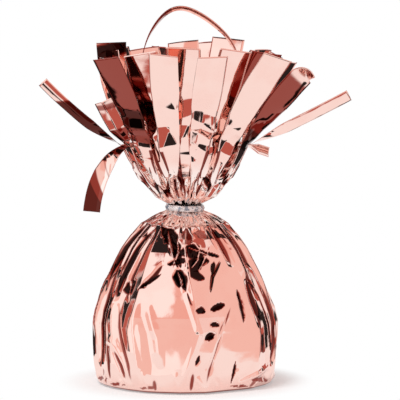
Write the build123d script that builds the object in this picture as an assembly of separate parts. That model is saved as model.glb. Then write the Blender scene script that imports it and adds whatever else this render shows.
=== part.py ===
from build123d import *
import math
import os

# Balloon weight: a cast cement puck in a bag of metallised film. The bag is gathered at its neck by a
# twist tie, flares above it as a pleated ruff, and ends in a fringe of cut strips round a ribbon loop.
# Millimetres, +Z up. The origin is the middle of the base, on the surface that the weight stands on.
# Azimuths are degrees round the Z axis, from the front (-Y) towards the right (+X).

# Film, drawn thicker than the real foil so that it has a body
FILM = 0.4

# Clearance between pieces that lie on each other
SEAT_GAP = 0.1

# Moulded cup and the cement that is cast in it
CUP_BASE_RADIUS = 26.2
CUP_TOP_RADIUS = 26.8
CUP_HEIGHT = 21.4
CUP_WALL = 0.8
CUP_CORNER = 3.0
CUP_LIP = 0.5
CEMENT_BELOW_LIP = 1.6
CEMENT_CROWN = 0.6

# Pouch: the film stands off the cup and rises from its shoulder to the neck in a dome, fullest near the neck
POUCH_SLACK = 1.5
DOME_HEIGHT = 31.8
DOME_BULGE = 6.0
DOME_SKEW = 1.9
DOME_STEPS = 6

# Main creases of the pouch, valleys and ridges by turns, with flat panels between them. The front ones,
# from the left, have their azimuths at the base, the shoulder and the neck. The back ones are even.
FRONT_CREASES = [
    (-90.0, -90.0, -97.0),
    (-74.0, -78.0, -88.0),
    (-65.0, -68.0, -74.0),
    (-54.0, -56.0, -56.0),
    (-40.0, -47.0, -44.0),
    (-27.0, -34.0, -32.0),
    (-15.0, -21.0, -16.0),
    (-3.0, 8.0, 0.0),
    (13.0, 27.0, 20.0),
    (50.0, 53.0, 58.0),
    (66.0, 61.0, 70.0),
    (74.0, 72.0, 84.0),
    (88.0, 87.0, 97.0),
]
BACK_CREASES = 11
HEM_CREASE = 0.3
CREASE = 0.6

# Gathered neck, and the ruff of box pleats that opens from it to the roots of the slits
NECK_RADIUS = 5.3
NECK_WALL = 1.5
NECK_PLEAT = 1.2
RUFF_FLOOR = 1.9
RUFF_HEIGHT = 18.6
RUFF_FLARE = 0.6
RUFF_STEPS = 10
RIM_RADIUS = 21.0
RIM_PLEAT = 2.4
FLAT_SHARE = 0.72

# Twist tie: a foil ribbon over a wire, with its two ends twisted together behind the neck
TIE_HEIGHT = 2.2
TIE_THICKNESS = 0.5
WIRE_RADIUS = 0.25
WIRE_GAP = 0.05
WIRE_COVER = 0.25
TAIL_GAP = 0.3
TAIL_LENGTH = 9.0
TAIL_WIDTH = 2.2
TAIL_THICKNESS = 0.9
TAIL_TURNS = 2.5
TAIL_STEP_ANGLE = 30.0
TAIL_ROOT_SHARE = 0.35
TAIL_ROOT_STEPS = 4
END_LENGTH = 6.5
END_SPLAY_ANGLE = 38.0

# Fringe: one strip for each flat of the ruff, which bends at its root where its slits end
STRIP_COUNT = 28
STRIP_WIDTH = 8.0
STRIP_GAP = 0.5
STRIP_THICKNESS = 0.3
STRIP_STEPS = 7
STRIP_HINGE_GAP = 0.3
STRIP_LENGTH = 34.0
OUTER_LEAN_ANGLE = 25.0
INNER_LEAN_ANGLE = 17.0
LEAN_ASIDE_ANGLE = 5.0
LEAN_SWAY_ANGLE = 3.0
LEAN_WAVES = 5
STRIP_CURL_ANGLE = 5.0
CURL_EASE = 0.6
OUTER_SWING_ANGLES = (-4.0, 45.0)
INNER_SWING_ANGLES = (-6.0, 6.0)

# Strips that stand apart from the even spread: lean, curl and twist angles, length, swing angles
SPLAYED_STRIPS = {
    5: (36.0, 14.0, 30.0, 33.0, (-10.0, 35.0)),
    6: (98.0, 10.0, 15.0, 9.0, (-40.0, 8.0)),
    7: (66.0, -4.0, 40.0, 34.5, (-30.0, 20.0)),
    20: (6.0, 4.0, 0.0, 34.0, (-6.0, 6.0)),
    21: (62.0, -18.0, 50.0, 31.0, (-30.0, 20.0)),
    22: (34.0, -8.0, 0.0, 16.0, (-12.0, 14.0)),
    23: (95.0, 92.0, -60.0, 26.0, (-40.0, 8.0)),
}

# Ribbon loop in the XZ plane: corners (x, height above the floor of the ruff) from its left foot
LOOP_WIDTH = 4.0
LOOP_FOOT = 1.5
LOOP_FOOT_GAP = 0.3
LOOP_CORNERS = [
    (-9.0, 19.7),
    (-14.5, 38.7),
    (-12.3, 50.0),
    (-6.5, 58.3),
    (-0.5, 60.3),
    (8.0, 55.9),
    (15.8, 48.3),
    (17.6, 37.7),
    (10.0, 19.7),
]
LOOP_BEND = 6.0

# Heights and radii that follow from the sizes above, from the base upwards
CUP_FLOOR = FILM + SEAT_GAP
CUP_TOP = CUP_FLOOR + CUP_HEIGHT
POUCH_HEM = CUP_CORNER / 2
POUCH_BASE_RADIUS = CUP_BASE_RADIUS + POUCH_SLACK + FILM
SHOULDER_RADIUS = CUP_TOP_RADIUS + CUP_LIP + POUCH_SLACK + FILM
SHOULDER_HEIGHT = CUP_TOP + SEAT_GAP + FILM
TIE_BOTTOM = SHOULDER_HEIGHT + DOME_HEIGHT
TIE_MIDDLE = TIE_BOTTOM + TIE_HEIGHT / 2
TIE_TOP = TIE_BOTTOM + TIE_HEIGHT
TIE_RADIUS = NECK_RADIUS + SEAT_GAP
WIRE_RING_RADIUS = TIE_RADIUS + TIE_THICKNESS / 2
RIB_RADIUS = WIRE_RADIUS + WIRE_GAP + WIRE_COVER
TAIL_ROOT = WIRE_RING_RADIUS + RIB_RADIUS + TAIL_GAP
RUFF_FLOOR_HEIGHT = TIE_TOP + RUFF_FLOOR
RIM_HEIGHT = TIE_TOP + RUFF_HEIGHT
RUFF_WALL = FILM * math.hypot(RIM_RADIUS - NECK_RADIUS, RUFF_HEIGHT) / RUFF_HEIGHT
PITCH = 360.0 / STRIP_COUNT
STRIP_ROOT_HEIGHT = RIM_HEIGHT + STRIP_HINGE_GAP
LOOP_PIVOT_HEIGHT = RUFF_FLOOR_HEIGHT + LOOP_FOOT_GAP + LOOP_WIDTH / 2


def polar(radius, azimuth, height):
    """Point at a radius and height, at an azimuth from the front."""
    turn = math.radians(azimuth)
    return Vector(radius * math.sin(turn), -radius * math.cos(turn), height)


def turned(points):
    """Solid turned round the Z axis from a closed outline of (radius, height) points."""
    outline = Wire.make_polygon([Vector(radius, 0, height) for radius, height in points], close=True)
    return revolve(Face(outline), Axis.Z)


def round_base(solid, radius):
    """Round the lowest circular edge of a turned solid."""
    return fillet(solid.edges().filter_by(GeomType.CIRCLE).sort_by(Axis.Z)[0], radius)


def cup_radius(height):
    """Outside radius of the cup's tapered wall at a height above the ground."""
    return CUP_BASE_RADIUS + (CUP_TOP_RADIUS - CUP_BASE_RADIUS) * (height - CUP_FLOOR) / CUP_HEIGHT


def cup_filling(inset, top):
    """Solid that fills the cup's outline up to a height, set in from it on every side."""
    bottom = CUP_FLOOR + inset
    block = turned([
        (0, bottom),
        (cup_radius(bottom) - inset, bottom),
        (cup_radius(top) - inset, top),
        (0, top),
    ])
    return round_base(block, CUP_CORNER - inset)


def casting_cup():
    """Thin cup with a tapered wall, a rounded base and a lip."""
    lip = Pos(0, 0, CUP_TOP - CUP_WALL / 2) * Cylinder(CUP_TOP_RADIUS + CUP_LIP, CUP_WALL)
    return cup_filling(0, CUP_TOP) + lip - cup_filling(CUP_WALL, CUP_TOP + CUP_HEIGHT)


def cement_core():
    """Cement as it set in the cup, with a slightly crowned top."""
    inset = CUP_WALL + SEAT_GAP
    edge = CUP_TOP - CEMENT_BELOW_LIP
    edge_radius = cup_radius(edge) - inset
    ball_radius = (edge_radius**2 + CEMENT_CROWN**2) / (2 * CEMENT_CROWN)
    ball = Pos(0, 0, edge + CEMENT_CROWN - ball_radius) * Sphere(ball_radius)
    return cup_filling(inset, edge + CEMENT_CROWN) & ball


def is_outer(strip):
    """Whether a strip hangs from an outer flat of the box pleats."""
    return strip % 2 == 1


def pleated_section(radius, depth, height):
    """Closed outline of the gathered film: outer and inner flats by turns, one for each strip."""
    half_flat = PITCH * FLAT_SHARE / 2
    points = []
    for strip in range(STRIP_COUNT):
        flat_radius = radius if is_outer(strip) else radius - depth
        for side in (-half_flat, half_flat):
            points.append(polar(flat_radius, strip * PITCH + side, height))
    return Face(Wire.make_polygon(points, close=True))


def pouch_creases():
    """Azimuths of every crease of the pouch at its base, shoulder and neck, right round from the left."""
    first, last = FRONT_CREASES[0], FRONT_CREASES[-1]
    creases = list(FRONT_CREASES)
    for crease in range(BACK_CREASES):
        share = (crease + 1) / (BACK_CREASES + 1)
        creases.append(tuple(right + (left + 360 - right) * share for left, right in zip(first, last)))
    return creases


def pouch_section(radius, lift, height):
    """Closed outline of the pouch: valleys that lie in and ridges that stand out by turns."""
    points = []
    for crease, (base, shoulder, neck) in enumerate(pouch_creases()):
        azimuth = base + (shoulder - base) * min(1, height / SHOULDER_HEIGHT)
        azimuth += (neck - shoulder) * max(0, (height - SHOULDER_HEIGHT) / DOME_HEIGHT)
        points.append(polar(radius + (lift if crease % 2 else -lift), azimuth, height))
    return Face(Wire.make_polygon(points, close=True))


def film_pouch():
    """Bag below the tie: turned-under base, straight wall and a dome that gathers towards the neck."""
    fall = SHOULDER_RADIUS - NECK_RADIUS
    wall = FILM * math.hypot(fall, DOME_HEIGHT) / DOME_HEIGHT
    outside = [
        pouch_section(POUCH_BASE_RADIUS - POUCH_HEM, 0, 0),
        pouch_section(POUCH_BASE_RADIUS, HEM_CREASE, POUCH_HEM),
    ]
    inside = [
        pouch_section(POUCH_BASE_RADIUS - POUCH_HEM - FILM / 2, 0, FILM),
        pouch_section(POUCH_BASE_RADIUS - FILM, HEM_CREASE, POUCH_HEM + FILM / 2),
    ]
    for step in range(DOME_STEPS):
        share = step / DOME_STEPS
        radius = SHOULDER_RADIUS - fall * share + DOME_BULGE * math.sin(math.pi * share**DOME_SKEW)
        height = SHOULDER_HEIGHT + DOME_HEIGHT * share
        outside.append(pouch_section(radius, CREASE, height))
        inside.append(pouch_section(radius - wall, CREASE, height))
    outside.append(pouch_section(NECK_RADIUS - CREASE, CREASE, TIE_BOTTOM))
    for height in (TIE_BOTTOM, TIE_TOP):
        inside.append(pouch_section(NECK_RADIUS - CREASE - NECK_WALL, CREASE, height))
    return loft(outside, ruled=True) - loft(inside, ruled=True)


def ruff_section(share, wall=0.0):
    """Outline of the ruff from the tie (0) to its rim (1), inset by a wall for the inside."""
    radius = NECK_RADIUS + (RIM_RADIUS - NECK_RADIUS) * share**RUFF_FLARE
    depth = NECK_PLEAT + (RIM_PLEAT - NECK_PLEAT) * share
    return pleated_section(radius - wall, depth, TIE_TOP + RUFF_HEIGHT * share)


def film_ruff():
    """Bag above the tie: a bunched neck that opens into a pleated, hollow ruff."""
    shares = [step / RUFF_STEPS for step in range(RUFF_STEPS + 2)]
    outside = [pleated_section(NECK_RADIUS, NECK_PLEAT, TIE_BOTTOM + SEAT_GAP)]
    outside += [ruff_section(share) for share in shares[:-1]]
    inside = [ruff_section(share, RUFF_WALL) for share in [RUFF_FLOOR / RUFF_HEIGHT] + shares[1:]]
    return loft(outside, ruled=True) - loft(inside, ruled=True)


def wire_section(radius):
    """Round section in the XZ plane, where the tie's wire runs."""
    return Plane.XZ * Pos(WIRE_RING_RADIUS, TIE_MIDDLE) * Circle(radius)


def tie_band():
    """Flat foil ribbon of the twist tie round the neck, with a rib over its wire."""
    ribbon = Plane.XZ * Pos(WIRE_RING_RADIUS, TIE_MIDDLE) * Rectangle(TIE_THICKNESS, TIE_HEIGHT)
    outer_half = Plane.XZ * Pos(WIRE_RING_RADIUS + RIB_RADIUS, TIE_MIDDLE) * Rectangle(
        2 * RIB_RADIUS, 2 * RIB_RADIUS)
    rib = wire_section(RIB_RADIUS) & outer_half
    return revolve(ribbon + rib - wire_section(WIRE_RADIUS + WIRE_GAP), Axis.Z)


def tie_wire():
    """Soft steel wire in the band."""
    return revolve(wire_section(WIRE_RADIUS), Axis.Z)


def tie_end(side):
    """One end of the tie behind the neck: twisted round the other end, then splayed out flat."""
    along = Plane((0, TAIL_ROOT, TIE_MIDDLE), x_dir=(1, 0, 0), z_dir=(0, 1, 0))
    half_width = (TAIL_WIDTH - SEAT_GAP) / 2
    beside = (half_width + SEAT_GAP) / 2
    steps = round(360 * TAIL_TURNS / TAIL_STEP_ANGLE)
    sections = []
    for step in range(steps + 1):
        grow = min(1, TAIL_ROOT_SHARE + (1 - TAIL_ROOT_SHARE) * step / TAIL_ROOT_STEPS)
        turn = Pos(0, 0, TAIL_LENGTH * step / steps) * Rot(0, 0, TAIL_STEP_ANGLE * step)
        place = turn * Pos(side * beside * grow, 0, 0)
        sections.append((along * place * Rectangle(half_width * grow, TAIL_THICKNESS * grow)).face())
    for share in (0.5, 1.0):
        out = place * Rot(0, side * END_SPLAY_ANGLE, 0) * Pos(0, 0, END_LENGTH * share)
        sections.append((along * out * Rectangle(TIE_THICKNESS, TIE_HEIGHT)).face())
    return loft(sections, ruled=True)


def strip_form(strip):
    """Lean, curl and twist in degrees, length, and swing in degrees, of one strip."""
    if strip in SPLAYED_STRIPS:
        return SPLAYED_STRIPS[strip]
    lean, swing = INNER_LEAN_ANGLE, INNER_SWING_ANGLES
    if is_outer(strip):
        lean, swing = OUTER_LEAN_ANGLE, OUTER_SWING_ANGLES
    azimuth = math.radians(strip * PITCH)
    sway = math.sin(LEAN_WAVES * azimuth)
    lean += LEAN_ASIDE_ANGLE * math.sin(azimuth) + LEAN_SWAY_ANGLE * sway
    return (lean, STRIP_CURL_ANGLE * (1 - sway), 0.0, STRIP_LENGTH, swing)


def strip_root_radius(strip):
    """Radius of a strip's root, in the middle of the ruff's wall at the rim."""
    flat_radius = RIM_RADIUS if is_outer(strip) else RIM_RADIUS - RIM_PLEAT
    return flat_radius * math.cos(math.radians(PITCH * FLAT_SHARE / 2)) - RUFF_WALL / 2


def strip_path(strip, swing):
    """Stations (radius, height, heading) from a strip's root to its tip, swung by an angle."""
    lean, curl, _, length, _ = strip_form(strip)
    shares = [half_step / 2 / STRIP_STEPS for half_step in range(2 * STRIP_STEPS + 1)]
    headings = [lean + swing + curl * share**CURL_EASE for share in shares]
    radius = strip_root_radius(strip)
    height = STRIP_ROOT_HEIGHT
    path = [(radius, height, headings[0])]
    for step in range(STRIP_STEPS):
        between = math.radians(headings[2 * step + 1])
        radius += length / STRIP_STEPS * math.sin(between)
        height += length / STRIP_STEPS * math.cos(between)
        path.append((radius, height, headings[2 * step + 2]))
    return path


def fringe_strip(strip):
    """One cut strip. It stays inside its own slice of the ring over its whole swing."""
    azimuth = strip * PITCH
    across = polar(1, azimuth + 90, 0)
    slice_width = 2 * math.tan(math.radians(PITCH / 2))
    twist, swing = strip_form(strip)[2], strip_form(strip)[4]
    paths = [strip_path(strip, angle) for angle in (0, *swing)]
    sections = []
    for step, (radius, height, heading) in enumerate(paths[0]):
        nearest = min(path[step][0] for path in paths)
        width = min(STRIP_WIDTH, nearest * slice_width - STRIP_GAP)
        lean = math.radians(heading)
        along = polar(math.sin(lean), azimuth, math.cos(lean))
        plane = Plane(polar(radius, azimuth, height), x_dir=across, z_dir=along)
        turn = Rot(0, 0, twist * step / STRIP_STEPS)
        sections.append((plane * turn * Rectangle(width, STRIP_THICKNESS)).face())
    return loft(sections, ruled=True)


def ribbon_loop():
    """Film ribbon that balloons are tied to: one loop with both ends down in the neck."""
    foot = LOOP_PIVOT_HEIGHT - LOOP_WIDTH / 2
    corners = [(x, RUFF_FLOOR_HEIGHT + height) for x, height in LOOP_CORNERS]
    path = FilletPolyline((-LOOP_FOOT, foot), *corners, (LOOP_FOOT, foot), radius=LOOP_BEND)
    outline = path.wire().offset_2d(FILM / 2, side=Side.BOTH)
    ribbon = extrude(Plane.XZ * Face(outline), LOOP_WIDTH / 2, both=True)
    reach = 2 * max(height for _, height in corners)
    round_foot = Pos(0, LOOP_PIVOT_HEIGHT) * Circle(LOOP_WIDTH / 2)
    round_foot += Pos(0, LOOP_PIVOT_HEIGHT + reach / 2) * Rectangle(LOOP_WIDTH, reach)
    return ribbon & extrude(Plane.YZ * round_foot, reach, both=True)


def main():
    """Build every piece and write it to its own file."""
    pieces = {
        "cement_core": cement_core(),
        "casting_cup": casting_cup(),
        "film_pouch": film_pouch(),
        "film_ruff": film_ruff(),
        "tie_band": tie_band(),
        "tie_wire": tie_wire(),
        "tie_end_left": tie_end(-1),
        "tie_end_right": tie_end(1),
        "ribbon_loop": ribbon_loop(),
    }
    for strip in range(STRIP_COUNT):
        pieces[f"fringe_strip_{strip + 1:02d}"] = fringe_strip(strip)
    os.makedirs("parts", exist_ok=True)
    for name, solid in pieces.items():
        export_step(solid, os.path.join("parts", name + ".step"))


if __name__ == "__main__":
    main()
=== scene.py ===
"""Looks of the balloon weight: a crumpled film bag on a cast puck, with ruff, fringe, ribbon loop and tie.

Lengths are millimetres in the classes and become metres when a mesh is made. Azimuths are degrees round the
Z axis from the front (-Y) towards the right (+X).
"""

import logging
import math
from dataclasses import dataclass, field
from enum import Enum
from typing import Union

import bmesh
import bpy
import numpy as np
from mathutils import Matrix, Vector


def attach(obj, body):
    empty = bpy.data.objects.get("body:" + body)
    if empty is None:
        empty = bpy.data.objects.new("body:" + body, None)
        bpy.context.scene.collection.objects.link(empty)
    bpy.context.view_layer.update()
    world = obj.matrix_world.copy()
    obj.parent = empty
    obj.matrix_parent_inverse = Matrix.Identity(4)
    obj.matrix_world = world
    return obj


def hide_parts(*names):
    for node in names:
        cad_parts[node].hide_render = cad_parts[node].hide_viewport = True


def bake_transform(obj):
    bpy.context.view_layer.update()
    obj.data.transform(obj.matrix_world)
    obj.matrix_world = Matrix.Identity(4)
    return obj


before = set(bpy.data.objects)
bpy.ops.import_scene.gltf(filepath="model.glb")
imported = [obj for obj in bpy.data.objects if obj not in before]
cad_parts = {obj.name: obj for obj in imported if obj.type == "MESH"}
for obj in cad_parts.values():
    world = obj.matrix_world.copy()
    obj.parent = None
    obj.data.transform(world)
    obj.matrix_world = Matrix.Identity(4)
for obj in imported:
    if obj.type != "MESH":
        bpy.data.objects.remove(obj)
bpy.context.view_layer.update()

log = logging.getLogger("balloon_weight")
MM = 0.001
# Point attribute of painted shade, 0 to 1: dark reflection and shade painted into creases, dents, the hem
# and bands.
PAINTED_SHADE = "deep"
# Numbers of the Mix node's sockets for colours: two inputs and the result.
MIX_FIRST, MIX_SECOND, MIX_RESULT = 6, 7, 2
WHITE = (1.0, 1.0, 1.0)
UP = np.array((0.0, 0.0, 1.0))
# Length of a sharp wave, spread of the ripples' lengths, and range that the starts of waves are drawn from.
ZIGZAG_LENGTH = 2.0
RIPPLE_SPREAD = (0.7, 1.5)
PHASES = (0.0, 6.0)

Colour = tuple[float, float, float]
Paint = Union[Colour, bpy.types.NodeSocket]
Number = Union["Value", float]
Range = tuple[float, float]
Link = tuple[bpy.types.Node, Union[str, int]]
Corners = tuple[tuple[float, float], ...]


class Layer(Enum):
    """Which flats of the box pleats a strip hangs from."""

    INNER = 0
    OUTER = 1


class Held(Enum):
    """How a sheet of film is held."""

    GATHERED = "gathered"
    HUNG = "hung"
    FOLDED = "folded"


class Value:
    """One number in a shader tree. Arithmetic on it adds Math nodes."""

    def __init__(self, tree: "ShaderTree", socket: bpy.types.NodeSocket) -> None:
        """Keep the tree and the socket that carries the number."""
        self.tree = tree
        self.socket = socket

    def math(self, operation: str, *others: Number) -> "Value":
        """Add one Math node.

        Args:
            operation: Blender's name of the operation.
            others: the operands after this one.

        Returns:
            The result of the operation.
        """
        sockets = {index + 1: other for index, other in enumerate(others)}
        return self.tree.value("ShaderNodeMath", {"operation": operation}, {0: self, **sockets})

    def __add__(self, other: Number) -> "Value":
        """Sum."""
        return self.math("ADD", other)

    __radd__ = __add__

    def __sub__(self, other: Number) -> "Value":
        """Difference."""
        return self.math("SUBTRACT", other)

    def __rsub__(self, other: float) -> "Value":
        """Difference from a plain number."""
        return self.math("MULTIPLY", -1.0) + other

    def __mul__(self, other: Number) -> "Value":
        """Product."""
        return self.math("MULTIPLY", other)

    __rmul__ = __mul__

    def at_least(self, other: Number) -> "Value":
        """The larger of two numbers."""
        return self.math("MAXIMUM", other)

    def ramp(self, low: float, high: float) -> "Value":
        """Smooth step from 0 at low to 1 at high, falling where low is above high."""
        settings = {"interpolation_type": "SMOOTHSTEP"}
        return self.tree.value("ShaderNodeMapRange", settings, {0: self, 1: low, 2: high, 3: 0.0, 4: 1.0})


class ShaderTree:
    """Builds the node tree of one material or of the world."""

    def __init__(self, tree: bpy.types.NodeTree) -> None:
        """Start from an empty tree."""
        self.tree = tree
        self.tree.nodes.clear()

    def add(self, kind: str, settings: dict | None = None, sockets: dict | None = None) -> bpy.types.Node:
        """Add one node.

        Args:
            kind: Blender's type name of the node.
            settings: properties, set first.
            sockets: values, links or other nodes, by the name or number of the input.

        Returns:
            The new node.
        """
        node = self.tree.nodes.new(kind)
        for name, setting in (settings or {}).items():
            setattr(node, name, setting)
        for name, source in (sockets or {}).items():
            self._feed(node.inputs[name], source)
        return node

    def value(self, kind: str, settings: dict | None = None, sockets: dict | None = None,
              output: str | int = 0) -> Value:
        """Add one node and take one of its outputs as a number."""
        return Value(self, self.add(kind, settings, sockets).outputs[output])

    def mixed(self, share: Value, first: Paint, second: Paint) -> bpy.types.NodeSocket:
        """Colour that goes from a first to a second one with a share."""
        sockets = {"Factor": share, MIX_FIRST: first, MIX_SECOND: second}
        return self.add("ShaderNodeMix", {"data_type": "RGBA"}, sockets).outputs[MIX_RESULT]

    def places(self) -> bpy.types.NodeSocket:
        """Object coordinates of the piece."""
        return self.add("ShaderNodeTexCoord").outputs["Object"]

    def noise(self, size: float, detail: float) -> Value:
        """Noise whose lumps are about a size, in millimetres, on Object coordinates."""
        sockets = {"Vector": self.places(), "Scale": 1.0 / (size * MM), "Detail": detail}
        return self.value("ShaderNodeTexNoise", {"noise_dimensions": "3D"}, sockets)

    def _feed(self, socket: bpy.types.NodeSocket, source: object) -> None:
        """Give an input its value or link.

        Args:
            socket: the input.
            source: its value, or the node or output that feeds it.
        """
        if isinstance(source, Value):
            self.tree.links.new(source.socket, socket)
        elif isinstance(source, bpy.types.Node):
            self.tree.links.new(source.outputs[0], socket)
        elif isinstance(source, bpy.types.NodeSocket):
            self.tree.links.new(source, socket)
        elif isinstance(source, tuple) and len(source) == 3 and socket.type == "RGBA":
            socket.default_value = (*source, 1.0)
        else:
            socket.default_value = source


@dataclass(frozen=True)
class Finish:
    """A material that is built once and shared by its pieces.

    The roughness is a base and what full wear adds to it. The relief is the strength and the depth of its
    bumps.
    """

    name: str
    metallic: float = 0.0
    roughness: Range = (0.5, 0.0)
    relief: Range = (0.0, 0.0)

    def material(self) -> bpy.types.Material:
        """The finished material, made at the first call.

        Returns:
            The material.
        """
        known = bpy.data.materials.get(self.name)
        if known is not None:
            return known
        made = bpy.data.materials.new(self.name)
        made.use_nodes = True
        self.paint(ShaderTree(made.node_tree))
        return made

    def paint(self, tree: ShaderTree) -> None:
        """Build the nodes of the finish."""
        raise NotImplementedError

    def surface(self, tree: ShaderTree, colour: Paint, wear: Value, height: Value | None = None) -> None:
        """Close the tree with one Principled surface.

        Args:
            tree: tree of the material.
            colour: colour of the surface.
            wear: how worn it is, from 0 to 1, which makes it rougher.
            height: height of its relief, where it has one.
        """
        smooth, worn = self.roughness
        sockets = {"Base Color": colour, "Metallic": self.metallic, "Roughness": smooth + worn * wear}
        if height is not None:
            strength, depth = self.relief
            bump = {"Strength": strength, "Distance": depth, "Height": height}
            sockets["Normal"] = tree.add("ShaderNodeBump", {}, bump)
        shader = tree.add("ShaderNodeBsdfPrincipled", {}, sockets)
        tree.add("ShaderNodeOutputMaterial", {}, {"Surface": shader})


@dataclass(frozen=True)
class FilmFinish(Finish):
    """Rose-gold metallised film: a mirror with a faint drawn grain and small handling wrinkles.

    The gathers are four heights in metres that place a painted pale reflection round the neck and the ruff:
    where it begins, where it is full, where it still is and where it ends.
    """

    name: str = "rose_gold_film"
    metallic: float = 1.0
    roughness: Range = (0.03, 0.035)
    relief: Range = (0.12, 0.0006)
    colour: Colour = (0.962, 0.685, 0.615)
    rubbed: Colour = (0.955, 0.655, 0.585)
    painted_pale_reflection: Colour = (0.978, 0.825, 0.775)
    painted_dark_red: Colour = (0.30, 0.06, 0.045)
    painted_black: Colour = (0.022, 0.010, 0.009)
    rub_size: float = 9.0
    rub_edge: Range = (0.42, 0.62)
    wrinkle_size: float = 5.0
    grain_size: float = 0.9
    grain_height: float = 0.05
    gathers: tuple[float, float, float, float] = (0.0475, 0.052, 0.066, 0.072)
    painted_shade_half: float = 0.5

    def paint(self, tree: ShaderTree) -> None:
        """Build the nodes of the film: a painted pale reflection round the neck and the ruff, and painted
        dark reflection and shade where the point attribute marks it.

        Args:
            tree: tree of the material.
        """
        rub = tree.noise(self.rub_size, 3.0).ramp(*self.rub_edge)
        height = tree.value("ShaderNodeSeparateXYZ", {}, {0: tree.places()}, "Z")
        low, full, still, high = self.gathers
        # Painted pale reflection: paler film between these heights, round the neck and the ruff.
        painted_pale_share = height.ramp(low, full) * height.ramp(high, still)
        deep = tree.value("ShaderNodeAttribute", {"attribute_name": PAINTED_SHADE}, {}, "Fac")
        colour = tree.mixed(rub, self.colour, self.rubbed)
        colour = tree.mixed(painted_pale_share, colour, self.painted_pale_reflection)
        # Painted dark reflection and shade: dark red up to half the attribute, then black.
        colour = tree.mixed(deep.ramp(0.0, self.painted_shade_half), colour, self.painted_dark_red)
        colour = tree.mixed(deep.ramp(self.painted_shade_half, 1.0), colour, self.painted_black)
        wrinkle = tree.noise(self.wrinkle_size, 1.0)
        grain = tree.noise(self.grain_size, 2.0)
        self.surface(tree, colour, rub, wrinkle + self.grain_height * grain)


@dataclass(frozen=True)
class FoilFinish(Finish):
    """Silver foil of the twist tie, crinkled over its wire, with blue-grey speckles that are rougher foil
    and also painted dark reflection.
    """

    name: str = "silver_tie_foil"
    metallic: float = 0.1
    roughness: Range = (0.16, 0.1)
    relief: Range = (0.5, 0.0003)
    colour: Colour = (0.90, 0.97, 1.0)
    shade: Colour = (0.30, 0.40, 0.49)
    crinkle_size: float = 1.1
    dull_and_painted_dark_size: float = 1.6
    dull_and_painted_dark_edge: Range = (0.54, 0.62)

    def paint(self, tree: ShaderTree) -> None:
        """Build the nodes of the foil.

        Args:
            tree: tree of the material.
        """
        crinkle = tree.noise(self.crinkle_size, 2.0)
        # Blue-grey speckles: duller, rougher foil, and also painted dark reflection.
        dull_and_painted_dark = tree.noise(self.dull_and_painted_dark_size, 1.0).ramp(*self.dull_and_painted_dark_edge)
        self.surface(tree, tree.mixed(dull_and_painted_dark, self.colour, self.shade), dull_and_painted_dark, crinkle)


@dataclass(frozen=True)
class CementFinish(Finish):
    """Cast grey cement with sand and damp patches."""

    name: str = "cast_cement"
    roughness: Range = (0.82, 0.1)
    relief: Range = (0.4, 0.0003)
    light: Colour = (0.42, 0.41, 0.39)
    dark: Colour = (0.27, 0.26, 0.25)
    patch_size: float = 8.0
    patch_share: float = 0.6
    patch_edge: Range = (0.35, 0.65)
    sand_size: float = 0.5

    def paint(self, tree: ShaderTree) -> None:
        """Build the nodes of the cement.

        Args:
            tree: tree of the material.
        """
        patch = tree.noise(self.patch_size, 4.0)
        sand = tree.noise(self.sand_size, 2.0)
        damp = (self.patch_share * patch + (1 - self.patch_share) * sand).ramp(*self.patch_edge)
        self.surface(tree, tree.mixed(damp, self.dark, self.light), sand, sand)


@dataclass(frozen=True)
class CupFinish(Finish):
    """Thin moulded plastic of the casting cup."""

    name: str = "cup_plastic"
    roughness: Range = (0.42, 0.1)
    relief: Range = (0.15, 0.0001)
    colour: Colour = (0.72, 0.72, 0.70)
    cloudy: Colour = (0.66, 0.66, 0.65)
    cloud_size: float = 6.0
    grain_size: float = 0.4

    def paint(self, tree: ShaderTree) -> None:
        """Build the nodes of the plastic.

        Args:
            tree: tree of the material.
        """
        cloud = tree.noise(self.cloud_size, 2.0)
        grain = tree.noise(self.grain_size, 1.0)
        self.surface(tree, tree.mixed(cloud, self.colour, self.cloudy), cloud, grain)


@dataclass(frozen=True)
class WireFinish(Finish):
    """Drawn soft steel of the wire in the tie."""

    name: str = "tie_wire_steel"
    metallic: float = 1.0
    roughness: Range = (0.3, 0.15)
    colour: Colour = (0.50, 0.50, 0.51)
    worn: Colour = (0.42, 0.41, 0.40)
    wear_size: float = 0.6

    def paint(self, tree: ShaderTree) -> None:
        """Build the nodes of the steel."""
        wear = tree.noise(self.wear_size, 3.0)
        self.surface(tree, tree.mixed(wear, self.colour, self.worn), wear)


def polar(radius: float, azimuth: float, height: float) -> np.ndarray:
    """Point at a radius and height, at an azimuth from the front."""
    turn = math.radians(azimuth)
    return np.array((radius * math.sin(turn), -radius * math.cos(turn), height))


def ramp(values: np.ndarray, low: float, high: float) -> np.ndarray:
    """Straight ramp from 0 at low to 1 at high, falling where low is above high."""
    return np.clip((values - low) / (high - low), 0, 1)


def zigzag(places: np.ndarray | float) -> np.ndarray | float:
    """Sharp wave between -0.5 and 0.5 that repeats after one zigzag length."""
    return np.abs(places % ZIGZAG_LENGTH - ZIGZAG_LENGTH / 2) - 0.5


def placed(name: str, data: bpy.types.ID) -> bpy.types.Object:
    """New object in the scene.

    Args:
        name: name of the object.
        data: its mesh, curve, lamp or camera.

    Returns:
        The object, at the origin.
    """
    made = bpy.data.objects.new(name, data)
    bpy.context.scene.collection.objects.link(made)
    return made


def apply_modifiers(piece: bpy.types.Object) -> None:
    """Turn a piece with modifiers into a plain mesh of the same shape.

    Args:
        piece: the piece.
    """
    bpy.context.view_layer.update()
    graph = bpy.context.evaluated_depsgraph_get()
    plain = bpy.data.meshes.new_from_object(piece.evaluated_get(graph))
    piece.modifiers.clear()
    piece.data = plain
    plain.name = piece.name


def dress_node(node: str, finish: Finish) -> None:
    """Give a CAD node its finish.

    Args:
        node: name of the node.
        finish: its finish.
    """
    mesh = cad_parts[node].data
    mesh.materials.clear()
    mesh.materials.append(finish.material())


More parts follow.
